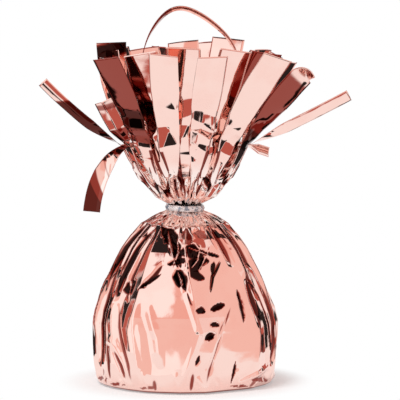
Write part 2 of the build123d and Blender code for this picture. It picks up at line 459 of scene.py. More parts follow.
@dataclass
class FilmMesh:
    """Points and faces of a piece of film while it is shaped, in millimetres, and its painted shade."""

    points: np.ndarray
    faces: list[tuple[int, ...]]
    deep: np.ndarray | None = None

    @staticmethod
    def panels(rows: int, columns: int, closed: bool) -> list[tuple[int, ...]]:
        """Four-sided faces between rows of points.

        Args:
            rows: number of rows.
            columns: points in a row.
            closed: whether the last point of a row joins the first.

        Returns:
            The faces, row by row.
        """
        faces = []
        for row in range(rows - 1):
            low, high = row * columns, (row + 1) * columns
            for step in range(columns if closed else columns - 1):
                beside = (step + 1) % columns
                faces.append((low + step, low + beside, high + beside, high + step))
        return faces

    def _bmesh(self) -> bmesh.types.BMesh:
        """The same mesh as a bmesh.

        Returns:
            The new bmesh, to be freed after use.
        """
        made = bmesh.new()
        corners = [made.verts.new(point) for point in self.points]
        for face in self.faces:
            made.faces.new([corners[index] for index in face])
        return made

    def _take(self, made: bmesh.types.BMesh) -> "FilmMesh":
        """Take points and faces back from a bmesh, and free it.

        Args:
            made: the bmesh.

        Returns:
            This mesh.
        """
        made.verts.index_update()
        self.points = np.array([corner.co for corner in made.verts], float)
        self.faces = [tuple(corner.index for corner in face.verts) for face in made.faces]
        made.free()
        return self

    def divided(self, longest: float, rounds: int = 6) -> "FilmMesh":
        """Split edges until none is much longer than a length, without bending a face.

        Args:
            longest: the longest edge to leave.
            rounds: the most times that edges are halved.

        Returns:
            This mesh.
        """
        made = self._bmesh()
        for _ in range(rounds):
            long_edges = [edge for edge in made.edges if edge.calc_length() > longest]
            if not long_edges:
                break
            bmesh.ops.subdivide_edges(made, edges=long_edges, cuts=1)
            many_sided = [face for face in made.faces if len(face.verts) > 3]
            bmesh.ops.triangulate(made, faces=many_sided)
        return self._take(made)

    def _links(self) -> tuple[np.ndarray, np.ndarray, np.ndarray]:
        """Both ends of every edge, each way round, and which points lie on the rim.

        Returns:
            The points where edges start, those where they end, and a mark for each point of the rim.
        """
        pairs = np.array([(face[i - 1], face[i]) for face in self.faces for i in range(len(face))])
        edges, uses = np.unique(np.sort(pairs, axis=1), axis=0, return_counts=True)
        rim = np.zeros(len(self.points), bool)
        rim[edges[uses == 1].ravel()] = True
        first, second = edges.T
        return np.concatenate([first, second]), np.concatenate([second, first]), rim

    def relaxed(self, share: float) -> "FilmMesh":
        """Round the creases by moving each point a share of the way to the middle of its neighbours.

        Args:
            share: how far a point moves. The rim stays.

        Returns:
            This mesh.
        """
        near, far, rim = self._links()
        count = np.bincount(near, minlength=len(self.points))[:, None]
        total = np.zeros_like(self.points)
        np.add.at(total, near, self.points[far])
        moved = self.points + share * (total / np.maximum(count, 1) - self.points)
        self.points = np.where(rim[:, None], self.points, moved)
        return self

    def normals(self) -> np.ndarray:
        """Unit normals of the points.

        Returns:
            One normal for each point.
        """
        total = np.zeros_like(self.points)
        for size in (3, 4):
            faces = np.array([face for face in self.faces if len(face) == size], int).reshape(-1, size)
            first, second, last = (self.points[faces[:, i]] for i in (0, 1, size - 1))
            across = np.cross(second - first, last - first)
            for i in range(size):
                np.add.at(total, faces[:, i], across)
        return total / np.maximum(np.linalg.norm(total, axis=1, keepdims=True), 1e-9)

    def rippled(self, length: float, height: float, seed: int, waves: int = 9) -> "FilmMesh":
        """Add soft waves along the normals.

        Args:
            length: length of the waves.
            height: height of the waves.
            seed: seed of their directions.
            waves: how many waves cross each other.

        Returns:
            This mesh.
        """
        draw = np.random.default_rng(seed)
        lift = np.zeros(len(self.points))
        for _ in range(waves):
            way = draw.normal(size=3)
            way *= 2 * math.pi / (length * draw.uniform(*RIPPLE_SPREAD)) / np.linalg.norm(way)
            lift += np.sin(self.points @ way + draw.uniform(0, 2 * math.pi))
        self.points = self.points + self.normals() * (height * lift / math.sqrt(waves))[:, None]
        return self

    def made(self, name: str, finish: Finish, thickness: float = 0.0) -> bpy.types.Object:
        """Make the object, in metres.

        Args:
            name: name of the piece.
            finish: its finish.
            thickness: thickness of the film, or 0 for a bare surface.

        Returns:
            The new object, with its material and smooth faces.
        """
        mesh = bpy.data.meshes.new(name)
        mesh.from_pydata((self.points * MM).tolist(), [], self.faces)
        mesh.validate()
        if self.deep is not None:
            mesh.attributes.new(PAINTED_SHADE, "FLOAT", "POINT").data.foreach_set("value", self.deep)
        piece = placed(name, mesh)
        if thickness:
            wall = piece.modifiers.new("film_thickness", "SOLIDIFY")
            wall.thickness = thickness * MM
            wall.offset = 0.0
            apply_modifiers(piece)
        piece.data.materials.clear()
        piece.data.materials.append(finish.material())
        piece.data.polygons.foreach_set("use_smooth", [True] * len(piece.data.polygons))
        return piece


@dataclass(frozen=True)
class Dent:
    """A dent that faces up, deepest above the lip at its lower edge, and darkened above that lip with
    painted dark reflection and shade.

    The half length runs along the slant and the half height across it. A roundness of 2 gives a lens, and
    less gives pointed ends. The raggedness makes the outline uneven, by two waves whose numbers are their
    turns in radians a millimetre aside and a millimetre up.
    """

    azimuth: float
    height: float
    half_length: float
    half_height: float
    slant: float
    depth: float
    shade: float = 1.0
    roundness: float = 2.0
    raggedness: float = 0.1
    waves: tuple[Range, Range] = ((0.9, 1.3), (-1.1, 1.7))
    steepness: float = 6.0
    lip: float = 0.8
    dark_from: float = 0.05
    dark_rise: float = 9.0

    def press(self, azimuths: np.ndarray, radii: np.ndarray,
              heights: np.ndarray) -> tuple[np.ndarray, np.ndarray]:
        """Press the dent into points of the film.

        Args:
            azimuths: azimuths of the points, in degrees.
            radii: their radii.
            heights: their heights.

        Returns:
            How far each point is pressed in, and how much painted shade it gets.
        """
        turn = math.radians(self.slant)
        aside = np.radians(azimuths - self.azimuth) * radii
        above = heights - self.height
        along = (aside * math.cos(turn) + above * math.sin(turn)) / self.half_length
        across = (above * math.cos(turn) - aside * math.sin(turn)) / self.half_height
        ragged = sum(np.sin(by_side * aside + by_height * above + start)
                     for (by_side, by_height), start in zip(self.waves, (self.azimuth, self.height)))
        lens = 1 - np.abs(along)**self.roundness - np.abs(across)
        inside = np.clip(lens + self.raggedness * ragged, 0, 1)
        pressed = self.depth * np.minimum(1, self.steepness * inside) * (0.5 + 0.5 * np.clip(across, -1, 1))
        core = np.clip((inside - self.dark_from) * self.dark_rise, 0, 1)
        upper = np.clip((across + self.lip) * self.steepness, 0, 1)
        return pressed, self.shade * core * upper


@dataclass(frozen=True)
class Fold:
    """A sharp fold in the film that fades out at both ends, as a line of (azimuth, height) corners.

    The half width is the one at the full radius, the widest part of the bag, and narrows towards the neck.
    The shade is painted shade down the fold, standing for its dark reflection.
    """

    corners: Corners
    half_width: float
    lift: float
    shade: float = 0.0
    full_radius: float = 26.0
    taper: float = 0.6
    dark_from: float = 0.3
    dark_rise: float = 4.0

    def raised(self, azimuths: np.ndarray, radii: np.ndarray,
               heights: np.ndarray) -> tuple[np.ndarray, np.ndarray]:
        """Raise or sink the fold in points of the film.

        Args:
            azimuths: azimuths of the points, in degrees.
            radii: their radii.
            heights: their heights.

        Returns:
            How far each point is lifted, and how much painted shade it gets.
        """
        corners = np.array(self.corners)
        steps = np.hypot(np.radians(np.diff(corners[:, 0])) * self.full_radius, np.diff(corners[:, 1]))
        nearest = np.full(len(heights), np.inf)
        share = np.zeros(len(heights))
        gone = 0.0
        for (azimuth, height), (next_azimuth, next_height), step in zip(corners, corners[1:], steps):
            aside = np.radians((azimuths - azimuth + 180) % 360 - 180) * radii
            above = heights - height
            way = np.radians(next_azimuth - azimuth) * radii
            rise = next_height - height
            along = np.clip((aside * way + above * rise) / (way**2 + rise**2), 0, 1)
            gap = np.hypot(aside - along * way, above - along * rise)
            closer = gap < nearest
            nearest = np.where(closer, gap, nearest)
            share = np.where(closer, (gone + along * step) / steps.sum(), share)
            gone += step
        half = self.half_width * radii / self.full_radius
        height = np.sin(math.pi * share) ** self.taper * np.clip(1 - nearest / half, 0, 1)
        return self.lift * height, self.shade * np.clip((height - self.dark_from) * self.dark_rise, 0, 1)


@dataclass(frozen=True)
class FoldStyle:
    """Ranges that the folds of one kind are drawn from."""

    half_width: Range
    lift: Range
    shade: Range = (0.0, 0.0)

    def fold(self, corners: Corners, sign: int, shade: float, draw: np.random.Generator) -> Fold:
        """One fold along its corners, raised or sunk by its sign."""
        half_width = float(draw.uniform(*self.half_width))
        return Fold(corners, half_width, sign * float(draw.uniform(*self.lift)), shade)


@dataclass(frozen=True)
class Crumple:
    """Sharp random creases of one length, which grow from a low to a high level up to a height."""

    length: float
    low: float
    high: float
    height: float


@dataclass
class FilmPouch:
    """Bag below the tie: stiff film in flat panels between creases, with folds, dents and a crumpled top.

    The profile is (radius, height) from the middle of the base to the neck. Each front crease is given by
    its azimuths at the base, the shoulder and the neck.
    """

    profile: Corners = (
        (0.0, 0.15), (26.4, 0.15), (27.8, 0.7), (28.5, 2.2), (29.0, 6.0), (29.2, 13.0), (29.1, 20.0),
        (28.3, 23.6), (26.6, 27.8), (24.8, 31.6), (23.0, 35.4), (21.1, 39.2), (19.1, 43.0), (16.5, 46.8),
        (13.0, 50.6), (8.3, 53.3), (5.5, 54.3), (5.1, 55.2),
    )
    shoulder: float = 22.4
    neck: float = 54.2
    front_creases: tuple[tuple[float, float, float], ...] = (
        (-90.0, -90.0, -97.0), (-74.0, -78.0, -88.0), (-65.0, -68.0, -74.0), (-54.0, -56.0, -56.0),
        (-40.0, -47.0, -44.0), (-27.0, -34.0, -32.0), (-15.0, -21.0, -16.0), (-3.0, 8.0, 0.0),
        (13.0, 27.0, 20.0), (50.0, 53.0, 58.0), (66.0, 61.0, 70.0), (74.0, 72.0, 84.0), (88.0, 87.0, 97.0),
    )
    back_creases: int = 11
    crease: float = 0.6
    crease_start: float = 0.3
    crease_rise: float = 8.0
    crease_radius: float = 10.0
    flatness: float = 0.85
    columns: int = 460
    front_share: float = 0.6
    front_angle: float = 78.0
    row_length: float = 0.36
    base_radius: float = 24.0
    floor: float = 0.05
    foot_edge: Range = (0.4, 1.9)
    # Painted shade: the film is darker below these heights along the hem.
    hem_edge: Range = (1.1, 0.7)
    hem_shade: float = 0.52
    hem_folds: int = 34
    hem_fold_place: Range = (0.1, 0.9)
    hem_fold_lean: float = 6.0
    hem_fold_foot: float = 0.9
    hem_fold_top: Range = (3.0, 8.0)
    hem_style: FoldStyle = FoldStyle((0.5, 1.1), (0.25, 0.5), (0.3, 0.6))
    back_folds: int = 46
    back_fold_place: Range = (0.2, 0.8)
    back_fold_lean: float = 9.0
    back_fold_wobble: float = 1.5
    back_fold_corners: int = 4
    back_style: FoldStyle = FoldStyle((0.9, 1.9), (0.4, 0.75), (0.4, 1.0))
    dome_top: float = 51.0
    dome_fold_foot: Range = (18.0, 34.0)
    wall_fold_top: Range = (28.0, 44.0)
    wall_fold_foot: Range = (3.0, 12.0)
    fold_middle: float = 25.0
    crumples: tuple[Crumple, ...] = (
        Crumple(6.5, 45, 52, 0.36), Crumple(4.2, 48.5, 53, 0.22), Crumple(11.0, 23, 40, 0.14),
    )
    crumple_waves: int = 4
    crumple_spread: Range = (0.8, 1.3)
    gathers: int = 30
    gather_lift: float = 0.7
    gather_edge: Range = (47.5, 53.5)
    gather_drift: Range = (0.1, 0.35)
    gather_waves: tuple[int, ...] = (3, 5, 8, 13)
    ridge_from: float = 0.35
    ridge_rise: float = 5.0
    softness: float = 0.4
    ripple: Range = (9.0, 0.03)
    seed: int = 11
    front_folds: tuple[Fold, ...] = (
        Fold(((-84, 51), (-86, 44), (-86, 36), (-76, 26.5), (-71, 15.7), (-72, 5)), 2.0, 0.8),
        Fold(((-71, 52), (-77, 45), (-73, 37.6), (-68, 28.5), (-63, 17.7), (-64, 7.5)), 2.4, -1.0, 0.85),
        Fold(((-60, 51), (-65, 44), (-64, 36), (-61, 28)), 2.0, 0.9),
        Fold(((-47, 50), (-52, 43.5), (-55, 35), (-55, 27.4)), 1.9, -0.9, 1.0),
        Fold(((-42, 50), (-46, 43), (-49, 36), (-50, 30)), 1.0, 0.5),
        Fold(((-39, 49), (-42, 41.6), (-45, 35.4), (-46, 28.6)), 1.2, -0.55, 0.8),
        Fold(((-54, 27), (-51, 20), (-50, 14)), 1.6, 0.6),
        Fold(((-55, 15), (-54, 9), (-54, 2.5)), 0.9, -0.6, 0.7),
        Fold(((-54, 16.5), (-45, 11.5), (-36, 4.5)), 1.2, 0.5),
        Fold(((-50, 13), (-44, 8), (-40, 3.5)), 0.9, -0.5, 0.6),
        Fold(((-49, 27.6), (-44, 17), (-38, 9), (-35, 2)), 1.2, -0.45, 0.45),
        Fold(((-34, 28.7), (-37, 18.7), (-33, 10), (-27, 2)), 2.4, 0.35),
        Fold(((-31, 28), (-24, 19), (-21, 9.6), (-21, 3.3)), 2.0, -0.3),
        Fold(((-26, 28), (-17, 17.5), (-15, 8)), 1.5, 0.3),
        Fold(((1, 45), (3, 36), (7, 28.5)), 1.2, 0.6),
        Fold(((1, 31.5), (9, 19), (3, 10), (-4, 1.5)), 1.0, 0.45),
        Fold(((35, 28), (24, 20.6), (17, 11), (13, 2)), 0.8, -0.4, 0.5),
        Fold(((29, 25), (20, 16), (14, 6.5)), 0.7, 0.4),
        Fold(((-32, 32.7), (-25, 35.8), (-19, 39.6)), 1.3, -0.7, 0.85),
        Fold(((30, 51.5), (33, 47), (37, 42)), 1.6, 0.8),
        Fold(((38, 51.5), (41, 46), (45, 38)), 2.0, -1.0, 0.6),
        Fold(((47, 51), (51, 44), (54, 34)), 2.2, 1.0),
        Fold(((60, 51), (58, 44), (60, 36), (57, 28)), 2.6, -1.1, 0.75),
        Fold(((78, 50), (76, 41), (76, 33), (80, 26)), 2.0, 0.8),
        Fold(((86, 49), (84, 40), (81, 32), (85, 25)), 1.7, -0.8, 0.9),
        Fold(((55, 36.7), (52, 27.5), (54, 17.5)), 1.6, -0.8, 0.85),
        Fold(((59, 33.5), (60, 24), (64, 13), (66, 5)), 1.8, 0.8),
        Fold(((73, 33), (71, 23.7), (72, 14), (68, 6.4)), 1.6, -0.8, 0.6),
        Fold(((35, 40.8), (23, 36), (18, 31)), 0.8, -0.5, 0.7),
        Fold(((36, 2.6), (50, 4.7), (65, 6.6)), 1.1, 0.6),
        Fold(((84, 28), (84, 21), (80, 12)), 4.0, 0.9),
        Fold(((-56, 52), (-60, 46), (-62, 37)), 2.2, -0.8, 1.0),
        Fold(((-78, 51), (-80, 43), (-80, 33)), 2.6, -0.8, 0.95),
        Fold(((52, 52), (54, 47), (57, 40)), 2.0, -0.7, 0.95),
        Fold(((67, 51), (67, 45), (69, 36)), 2.4, -0.8, 0.7),
        Fold(((-24, 50), (-14, 44.5), (-6, 38)), 0.65, 0.3),
        Fold(((-9, 48), (-6, 43), (-11, 38.5)), 0.55, 0.25),
        Fold(((2, 51), (0, 45.5), (1.5, 39)), 0.8, 0.4),
        Fold(((1, 44.8), (12, 43.6), (27, 41.4)), 0.5, 0.25),
        Fold(((4, 38), (12, 41), (16, 45.5)), 0.5, 0.25),
        Fold(((10, 37), (17, 40.4), (27, 44.6)), 0.5, 0.2),
        Fold(((-50, 36), (-45, 32), (-41, 27.5)), 0.6, 0.3),
        Fold(((-6, 38), (-3, 35.4), (-1, 31.5)), 0.5, 0.25),
    )
    dents: tuple[Dent, ...] = (
        Dent(-17, 47.4, 5.6, 2.6, -40, 0.8, roundness=1.2),
        Dent(-9, 43.4, 5.0, 2.2, -62, 0.7, roundness=1.2),
        Dent(-6, 40.4, 3.6, 1.2, 14, 0.4),
        Dent(3, 47.6, 2.8, 1.7, -80, 0.5, 0.6),
        Dent(7, 43.2, 5.4, 2.8, -6, 0.8, roundness=1.2),
        Dent(10, 39.8, 4.8, 2.8, 12, 0.7, roundness=1.2),
        Dent(9, 36.6, 3.4, 2.0, -24, 0.5, roundness=1.2),
        Dent(-3, 35.4, 3.6, 2.3, -58, 0.7, roundness=1.5),
        Dent(26, 42.2, 3.0, 0.7, -14, 0.5),
        Dent(25, 38, 2.4, 0.9, 70, 0.5),
        Dent(-45, 32, 2.6, 3.0, -40, 0.9, roundness=1.2),
        Dent(-28, 34.2, 4.4, 0.8, 36, 0.4),
        Dent(10.5, 26.0, 1.8, 1.2, -8, 0.65),
        Dent(22.8, 26.8, 2.9, 1.2, 14, 0.7),
        Dent(19.0, 21.6, 1.8, 0.9, -6, 0.9),
        Dent(16.2, 18.0, 1.9, 1.3, 25, 1.5),
        Dent(41.5, 26.5, 5.4, 0.95, -94, 1.0),
        Dent(33.0, 6.8, 3.8, 0.7, -100, 0.7),
        Dent(8.0, 11.0, 2.0, 0.7, -115, 0.7),
        Dent(-66, 2.6, 4.5, 0.9, 8, 0.4, 0.5),
        Dent(-48, 1.9, 4.5, 0.6, 4, 0.3, 0.5),
        Dent(56, 2.9, 6.0, 0.9, -10, 0.4, 0.5),
        Dent(38, 1.8, 4.0, 0.6, -6, 0.3, 0.45),
        Dent(-24, 1.9, 4.0, 0.5, 6, 0.3, 0.4),
    )

    def rows(self) -> np.ndarray:
        """Divide the profile into the rows of the mesh.

        Returns:
            One (radius, height) for each row, from the middle of the base to the neck.
        """
        profile = np.array(self.profile)
        steps = np.hypot(*np.diff(profile, axis=0).T)
        lengths = np.concatenate([[0.0], np.cumsum(steps)])
        first = self.base_radius
        places = np.linspace(first, lengths[-1], round((lengths[-1] - first) / self.row_length))
        return np.array([np.interp(places, lengths, profile[:, axis]) for axis in (0, 1)]).T

    def crease_azimuths(self, height: float) -> np.ndarray:
        """Find the main creases at a height.

        Args:
            height: the height.

        Returns:
            Their azimuths, right round from the left.
        """
        first, last = self.front_creases[0], self.front_creases[-1]
        creases = list(self.front_creases)
        for crease in range(self.back_creases):
            share = (crease + 1) / (self.back_creases + 1)
            creases.append(tuple(right + (left + 360 - right) * share for left, right in zip(first, last)))
        base, shoulder, neck = np.array(creases).T
        up = min(1.0, height / self.shoulder)
        over = max(0.0, (height - self.shoulder) / (self.neck - self.shoulder))
        return base + (shoulder - base) * up + (neck - shoulder) * over

    def panelled(self, azimuths: np.ndarray, radius: float, height: float) -> np.ndarray:
        """Lay flat panels between valleys and ridges, a little rounded.

        Args:
            azimuths: azimuths of a row's points, in degrees.
            radius: radius of the row in the profile.
            height: height of the row.

        Returns:
            Radius at each azimuth.
        """
        corners = self.crease_azimuths(height)
        grown = min(1.0, max(0.0, height - self.crease_start) / self.crease_rise)
        lift = self.crease * grown * min(1.0, radius / self.crease_radius)
        radii = radius + lift * np.where(np.arange(len(corners)) % 2, 1.0, -1.0)
        corners = np.append(corners, corners[0] + 360)
        radii = np.append(radii, radii[0])
        places = (azimuths - corners[0]) % 360 + corners[0]
        left = np.clip(np.searchsorted(corners, places, side="right") - 1, 0, len(corners) - 2)
        before = np.radians(places - corners[left])
        after = np.radians(corners[left + 1] - places)
        first, second = radii[left], radii[left + 1]
        chord = first * second * np.sin(before + after) / (first * np.sin(before) + second * np.sin(after))
        share = before / (before + after)
        arc = first + (second - first) * share
        return arc + (chord - arc) * self.flatness

    def back_fold(self, fold: int, draw: np.random.Generator) -> Fold:
        """Draw one fold round the back, in the manner of the front ones: on the dome or the wall in turn.

        Args:
            fold: number of the fold.
            draw: random numbers.

        Returns:
            The fold.
        """
        azimuth = 90 + (fold + draw.uniform(*self.back_fold_place)) * 180 / self.back_folds
        ends = (
            (self.dome_top, draw.uniform(*self.dome_fold_foot)),
            (draw.uniform(*self.wall_fold_top), draw.uniform(*self.wall_fold_foot)),
        )
        heights = np.linspace(*ends[fold % 2], self.back_fold_corners)
        lean = draw.uniform(-self.back_fold_lean, self.back_fold_lean)
        middle, wobble = self.fold_middle, self.back_fold_wobble
        corners = tuple(
            (azimuth + lean * (height - middle) / middle + draw.uniform(-wobble, wobble), float(height))
            for height in heights
        )
        sign = 1 if fold % 4 < 2 else -1
        shade = 0.0 if sign > 0 else float(draw.uniform(*self.back_style.shade))
        return self.back_style.fold(corners, sign, shade, draw)

    def hem_fold(self, fold: int, draw: np.random.Generator) -> Fold:
        """Draw one short fold at the hem, raised or sunk in turn, every fourth one with painted shade.

        Args:
            fold: number of the fold.
            draw: random numbers.

        Returns:
            The fold.
        """
        azimuth = (fold + draw.uniform(*self.hem_fold_place)) * 360 / self.hem_folds
        lean = draw.uniform(-self.hem_fold_lean, self.hem_fold_lean)
        top = (azimuth + lean, draw.uniform(*self.hem_fold_top))
        shade = 0.0 if fold % 4 else float(draw.uniform(*self.hem_style.shade))
        return self.hem_style.fold(((azimuth, self.hem_fold_foot), top), 1 if fold % 2 else -1, shade, draw)

    def folds(self) -> list[Fold]:
        """Gather all folds.

        Returns:
            Folds of the front, the back and the hem.
        """
        draw = np.random.default_rng(self.seed)
        back = [self.back_fold(fold, draw) for fold in range(self.back_folds)]
        return [*self.front_folds, *back, *(self.hem_fold(fold, draw) for fold in range(self.hem_folds))]

    def crumpled(self, points: np.ndarray) -> np.ndarray:
        """Draw sharp random creases all over, strongest round the neck.

        Args:
            points: points of the smooth bag.

        Returns:
            Lift of each point.
        """
        draw = np.random.default_rng(self.seed + 1)
        lift = np.zeros(len(points))
        for crumple in self.crumples:
            share = ramp(points[:, 2], crumple.low, crumple.high)
            for _ in range(self.crumple_waves):
                way = draw.normal(size=3)
                way /= np.linalg.norm(way) * crumple.length * draw.uniform(*self.crumple_spread)
                lift += crumple.height * share * zigzag(points @ way + draw.uniform(0, ZIGZAG_LENGTH))
        return lift

    def gathered(self, azimuths: np.ndarray, heights: np.ndarray) -> np.ndarray:
        """Draw narrow pleats that close in on the neck.

        Args:
            azimuths: azimuths of the points, in degrees.
            heights: their heights.

        Returns:
            Lift of each point.
        """
        draw = np.random.default_rng(self.seed + 2)
        angles = np.radians(azimuths)
        drift = sum(draw.uniform(*self.gather_drift) * np.sin(angles * waves + draw.uniform(*PHASES))
                    for waves in self.gather_waves)
        turns = azimuths / 360 * self.gathers + drift
        return self.gather_lift * ramp(heights, *self.gather_edge) * zigzag(ZIGZAG_LENGTH * turns)

    def shaped(self) -> FilmMesh:
        """Shape the pouch.

        Returns:
            The mesh, closed at its seam and its base.
        """
        beside = (1 - self.front_share) / 2
        azimuths = np.interp(np.arange(self.columns) / self.columns, (0, beside, 1 - beside, 1),
                             (-180, -self.front_angle, self.front_angle, 180))
        rows = self.rows()
        radii = np.array([self.panelled(azimuths, radius, height) for radius, height in rows]).ravel()
        heights = np.repeat(rows[:, 1], self.columns)
        around = np.tile(azimuths, len(rows))
        turns = np.radians(around)
        points = np.array([radii * np.sin(turns), -radii * np.cos(turns), heights]).T
        lift = self.crumpled(points) + self.gathered(around, heights)
        # Painted shade: a dark line along the hem, dark sunk folds and dents, cleared where raised folds
        # stand.
        deep = self.hem_shade * ramp(heights, *self.hem_edge)
        bright = np.zeros(len(points))
        for fold in self.folds():
            raised, dark = fold.raised(around, radii, heights)
            lift += raised
            deep = np.maximum(deep, dark)
            if fold.lift > 0:
                bright = np.maximum(bright, raised / fold.lift)
        for dent in self.dents:
            pressed, dark = dent.press(around, radii, heights)
            lift -= pressed
            deep = np.maximum(deep, dark)
        deep *= 1 - np.clip((bright - self.ridge_from) * self.ridge_rise, 0, 1)
        lift *= ramp(heights, *self.foot_edge)
        points[:, 0] += lift * np.sin(turns)
        points[:, 1] -= lift * np.cos(turns)
        base = tuple(reversed(range(self.columns)))
        return FilmMesh(points, [*FilmMesh.panels(len(rows), self.columns, True), base], deep)

    def build(self, finish: Finish) -> bpy.types.Object:
        """Make the pouch.

        Args:
            finish: finish of the film.

        Returns:
            The piece, on the bag's body.
        """
        film = self.shaped().relaxed(self.softness).rippled(*self.ripple, self.seed + 3)
        film.points[:, 2] = np.maximum(film.points[:, 2], self.floor)
        piece = film.made("bag_pouch", finish)
        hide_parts("film_pouch")
        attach(piece, "bag")
        return piece


@dataclass
class Ring:
    """Sizes that the ruff and the fringe share: flats, rim and hinge line."""

    strips: int = 28
    rim_radius: float = 20.1
    rim_pleat: float = 2.4
    rim_height: float = 75.0
    hinge_height: float = 75.3
    outer_root_radius: float = 20.67
    inner_root_radius: float = 18.28

    @property
    def pitch(self) -> float:
        """Angle between neighbouring strips."""
        return 360.0 / self.strips

    def layer(self, strip: int) -> Layer:
        """Layer of a strip: every other one hangs from an outer flat."""
        return Layer.OUTER if strip % 2 else Layer.INNER

    def root(self, strip: int) -> np.ndarray:
        """Middle of a strip's hinge line."""
        radius = self.outer_root_radius if self.layer(strip) is Layer.OUTER else self.inner_root_radius
        return polar(radius, strip * self.pitch, self.hinge_height)


@dataclass
class FilmRuff:
    """Bag above the tie: bunched film that opens in overlapping box pleats up to the slits.

    The bunch is (radius, height) of the rows that close the neck.
    """

    ring: Ring
    foot_radius: float = 5.2
    foot_height: float = 56.4
    foot_pleat: float = 1.0
    flare: float = 0.6
    swell: float = 0.8
    swell_ease: float = 0.7
    rows: int = 9
    bunch: Corners = ((0.3, 59.6), (2.4, 58.6))
    bunch_spread: Range = (0.8, 1.2)
    bunch_drop: float = 0.4
    foot_flat_angle: float = 4.4
    rim_flat_angle: float = 7.6
    flat_ease: float = 1.5
    outer_keel: float = 0.9
    inner_keel: float = -0.6
    keel_ease: float = 0.6
    keel_place: float = -0.15
    looseness: Range = (0.04, 0.28)
    loose_turn: float = 0.8
    loose_rise: float = 0.5
    folds: int = 56
    fold_place: Range = (0.1, 0.9)
    fold_lean: float = 8.0
    fold_wobble: float = 2.0
    fold_foot: Range = (56.8, 58.5)
    fold_top: Range = (63.5, 71.0)
    fold_style: FoldStyle = FoldStyle((1.2, 2.3), (0.8, 1.5))
    # Painted shade of the sunk folds in turn; a fold without it is raised.
    fold_shades: tuple[float, ...] = (0.0, 0.95, 0.5, 0.75)
    bright_radius: float = 4.16
    edge: float = 0.42
    softness: Range = (0.5, 0.4)
    ripple: Range = (6.0, 0.04)
    seed: int = 23

    def section(self, share: float, draw: np.random.Generator) -> list[np.ndarray]:
        """Lay out the box pleats at one height.

        Args:
            share: share of the way from the tie to the rim.
            draw: random numbers.

        Returns:
            Points of the closed section, three for each flat.
        """
        ring = self.ring
        radius = self.foot_radius + (ring.rim_radius - self.foot_radius) * share**self.flare
        height = self.foot_height + (ring.rim_height - self.foot_height) * share
        swell = self.swell * math.sin(math.pi * share**self.swell_ease)
        depth = self.foot_pleat + (ring.rim_pleat - self.foot_pleat) * share + swell
        half = self.foot_flat_angle + (self.rim_flat_angle - self.foot_flat_angle) * share**self.flat_ease
        least, more = self.looseness
        loose = more * math.sin(math.pi * share) + least
        points = []
        for strip in range(ring.strips):
            outer = ring.layer(strip) is Layer.OUTER
            flat_radius = radius if outer else radius - depth
            keel = self.outer_keel if outer else self.inner_keel
            keel *= math.sin(math.pi * share**self.keel_ease) ** 2
            for side, lift in ((-1.0, 0.0), (self.keel_place, keel), (1.0, 0.0)):
                turn = draw.uniform(-self.loose_turn, self.loose_turn) * loose
                azimuth = strip * ring.pitch + side * half + turn
                point = polar(flat_radius + lift + draw.uniform(-1, 1) * loose, azimuth, height)
                point[2] += draw.uniform(-self.loose_rise, self.loose_rise) * loose
                points.append(point)
        return points

    def fold(self, film: FilmMesh) -> None:
        """Press lens-shaped folds into the pleats, which run up from the tie, and paint dark reflection and
        shade into the sunk ones.

        Args:
            film: mesh of the ruff.
        """
        draw = np.random.default_rng(self.seed + 2)
        x, y, heights = film.points.T
        radii, azimuths = np.hypot(x, y), np.degrees(np.arctan2(x, -y))
        lift, deep = np.zeros(len(heights)), np.zeros(len(heights))
        for fold in range(self.folds):
            azimuth = (fold + draw.uniform(*self.fold_place)) * 360 / self.folds
            low, high = draw.uniform(*self.fold_foot), draw.uniform(*self.fold_top)
            lean = draw.uniform(-self.fold_lean, self.fold_lean)
            wobble = draw.uniform(-self.fold_wobble, self.fold_wobble)
            middle = (azimuth + wobble, (low + high) / 2)
            corners = ((azimuth - lean, low), middle, (azimuth + lean, high))
            shade = self.fold_shades[fold % len(self.fold_shades)]
            pressed = self.fold_style.fold(corners, -1 if shade else 1, shade, draw)
            raised, dark = pressed.raised(azimuths, radii, heights)
            lift += raised
            deep = np.maximum(deep, dark)
        # Painted shade stays off the bunched film in the middle.
        film.deep = deep * (radii > self.bright_radius)
        film.points = film.points + film.normals() * lift[:, None]

    def build(self, finish: Finish) -> bpy.types.Object:
        """Make the ruff, closed at its foot by the bunched film in the neck.

        Args:
            finish: finish of the film.

        Returns:
            The piece, on the bag's body.
        """
        draw = np.random.default_rng(self.seed)
        around = 3 * self.ring.strips
        rows = []
        for radius, height in self.bunch:
            rows.append([polar(radius * draw.uniform(*self.bunch_spread), 360 * step / around,
                               height + draw.uniform(-self.bunch_drop, self.bunch_drop))
                         for step in range(around)])
        rows += [self.section(step / (self.rows - 1), draw) for step in range(self.rows)]
        points = np.array([point for row in rows for point in row])
        bottom = tuple(reversed(range(around)))
        film = FilmMesh(points, [*FilmMesh.panels(len(rows), around, True), bottom])
        before, after = self.softness
        film.divided(self.edge).relaxed(before)
        self.fold(film)
        film.relaxed(after).rippled(*self.ripple, self.seed + 1)
        piece = film.made("bag_ruff", finish)
        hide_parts("film_ruff")
        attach(piece, "bag")
        return piece


@dataclass(frozen=True)
class StripForm:
    """How one strip of the fringe stands: angles in degrees, lengths in millimetres."""

    lean: float
    curl: float
    twist: float
    length: float
    root_width: float
    tip_width: float
    bow: float = 0.0
    keel: float = 0.0
    crumple: float = 0.0
    tip_roll: float = 0.0
    drift: float = 0.0
    twist_share: float = 1.0


@dataclass(frozen=True)
class Band:
    """Painted dark reflection across a strip: start and end as shares of its length, shade, slant and soft
    edge.
    """

    start: float
    end: float
    shade: float
    slant: float = 0.03
    edge: float = 0.03

    def at(self, share: float, across: float) -> float:
        """How much painted shade the band gives the film at a share of the strip's length and a place
        across it.
        """
        place = share + self.slant * across
        return self.shade * min(1.0, max(0.0, min(place - self.start, self.end - place) / self.edge))


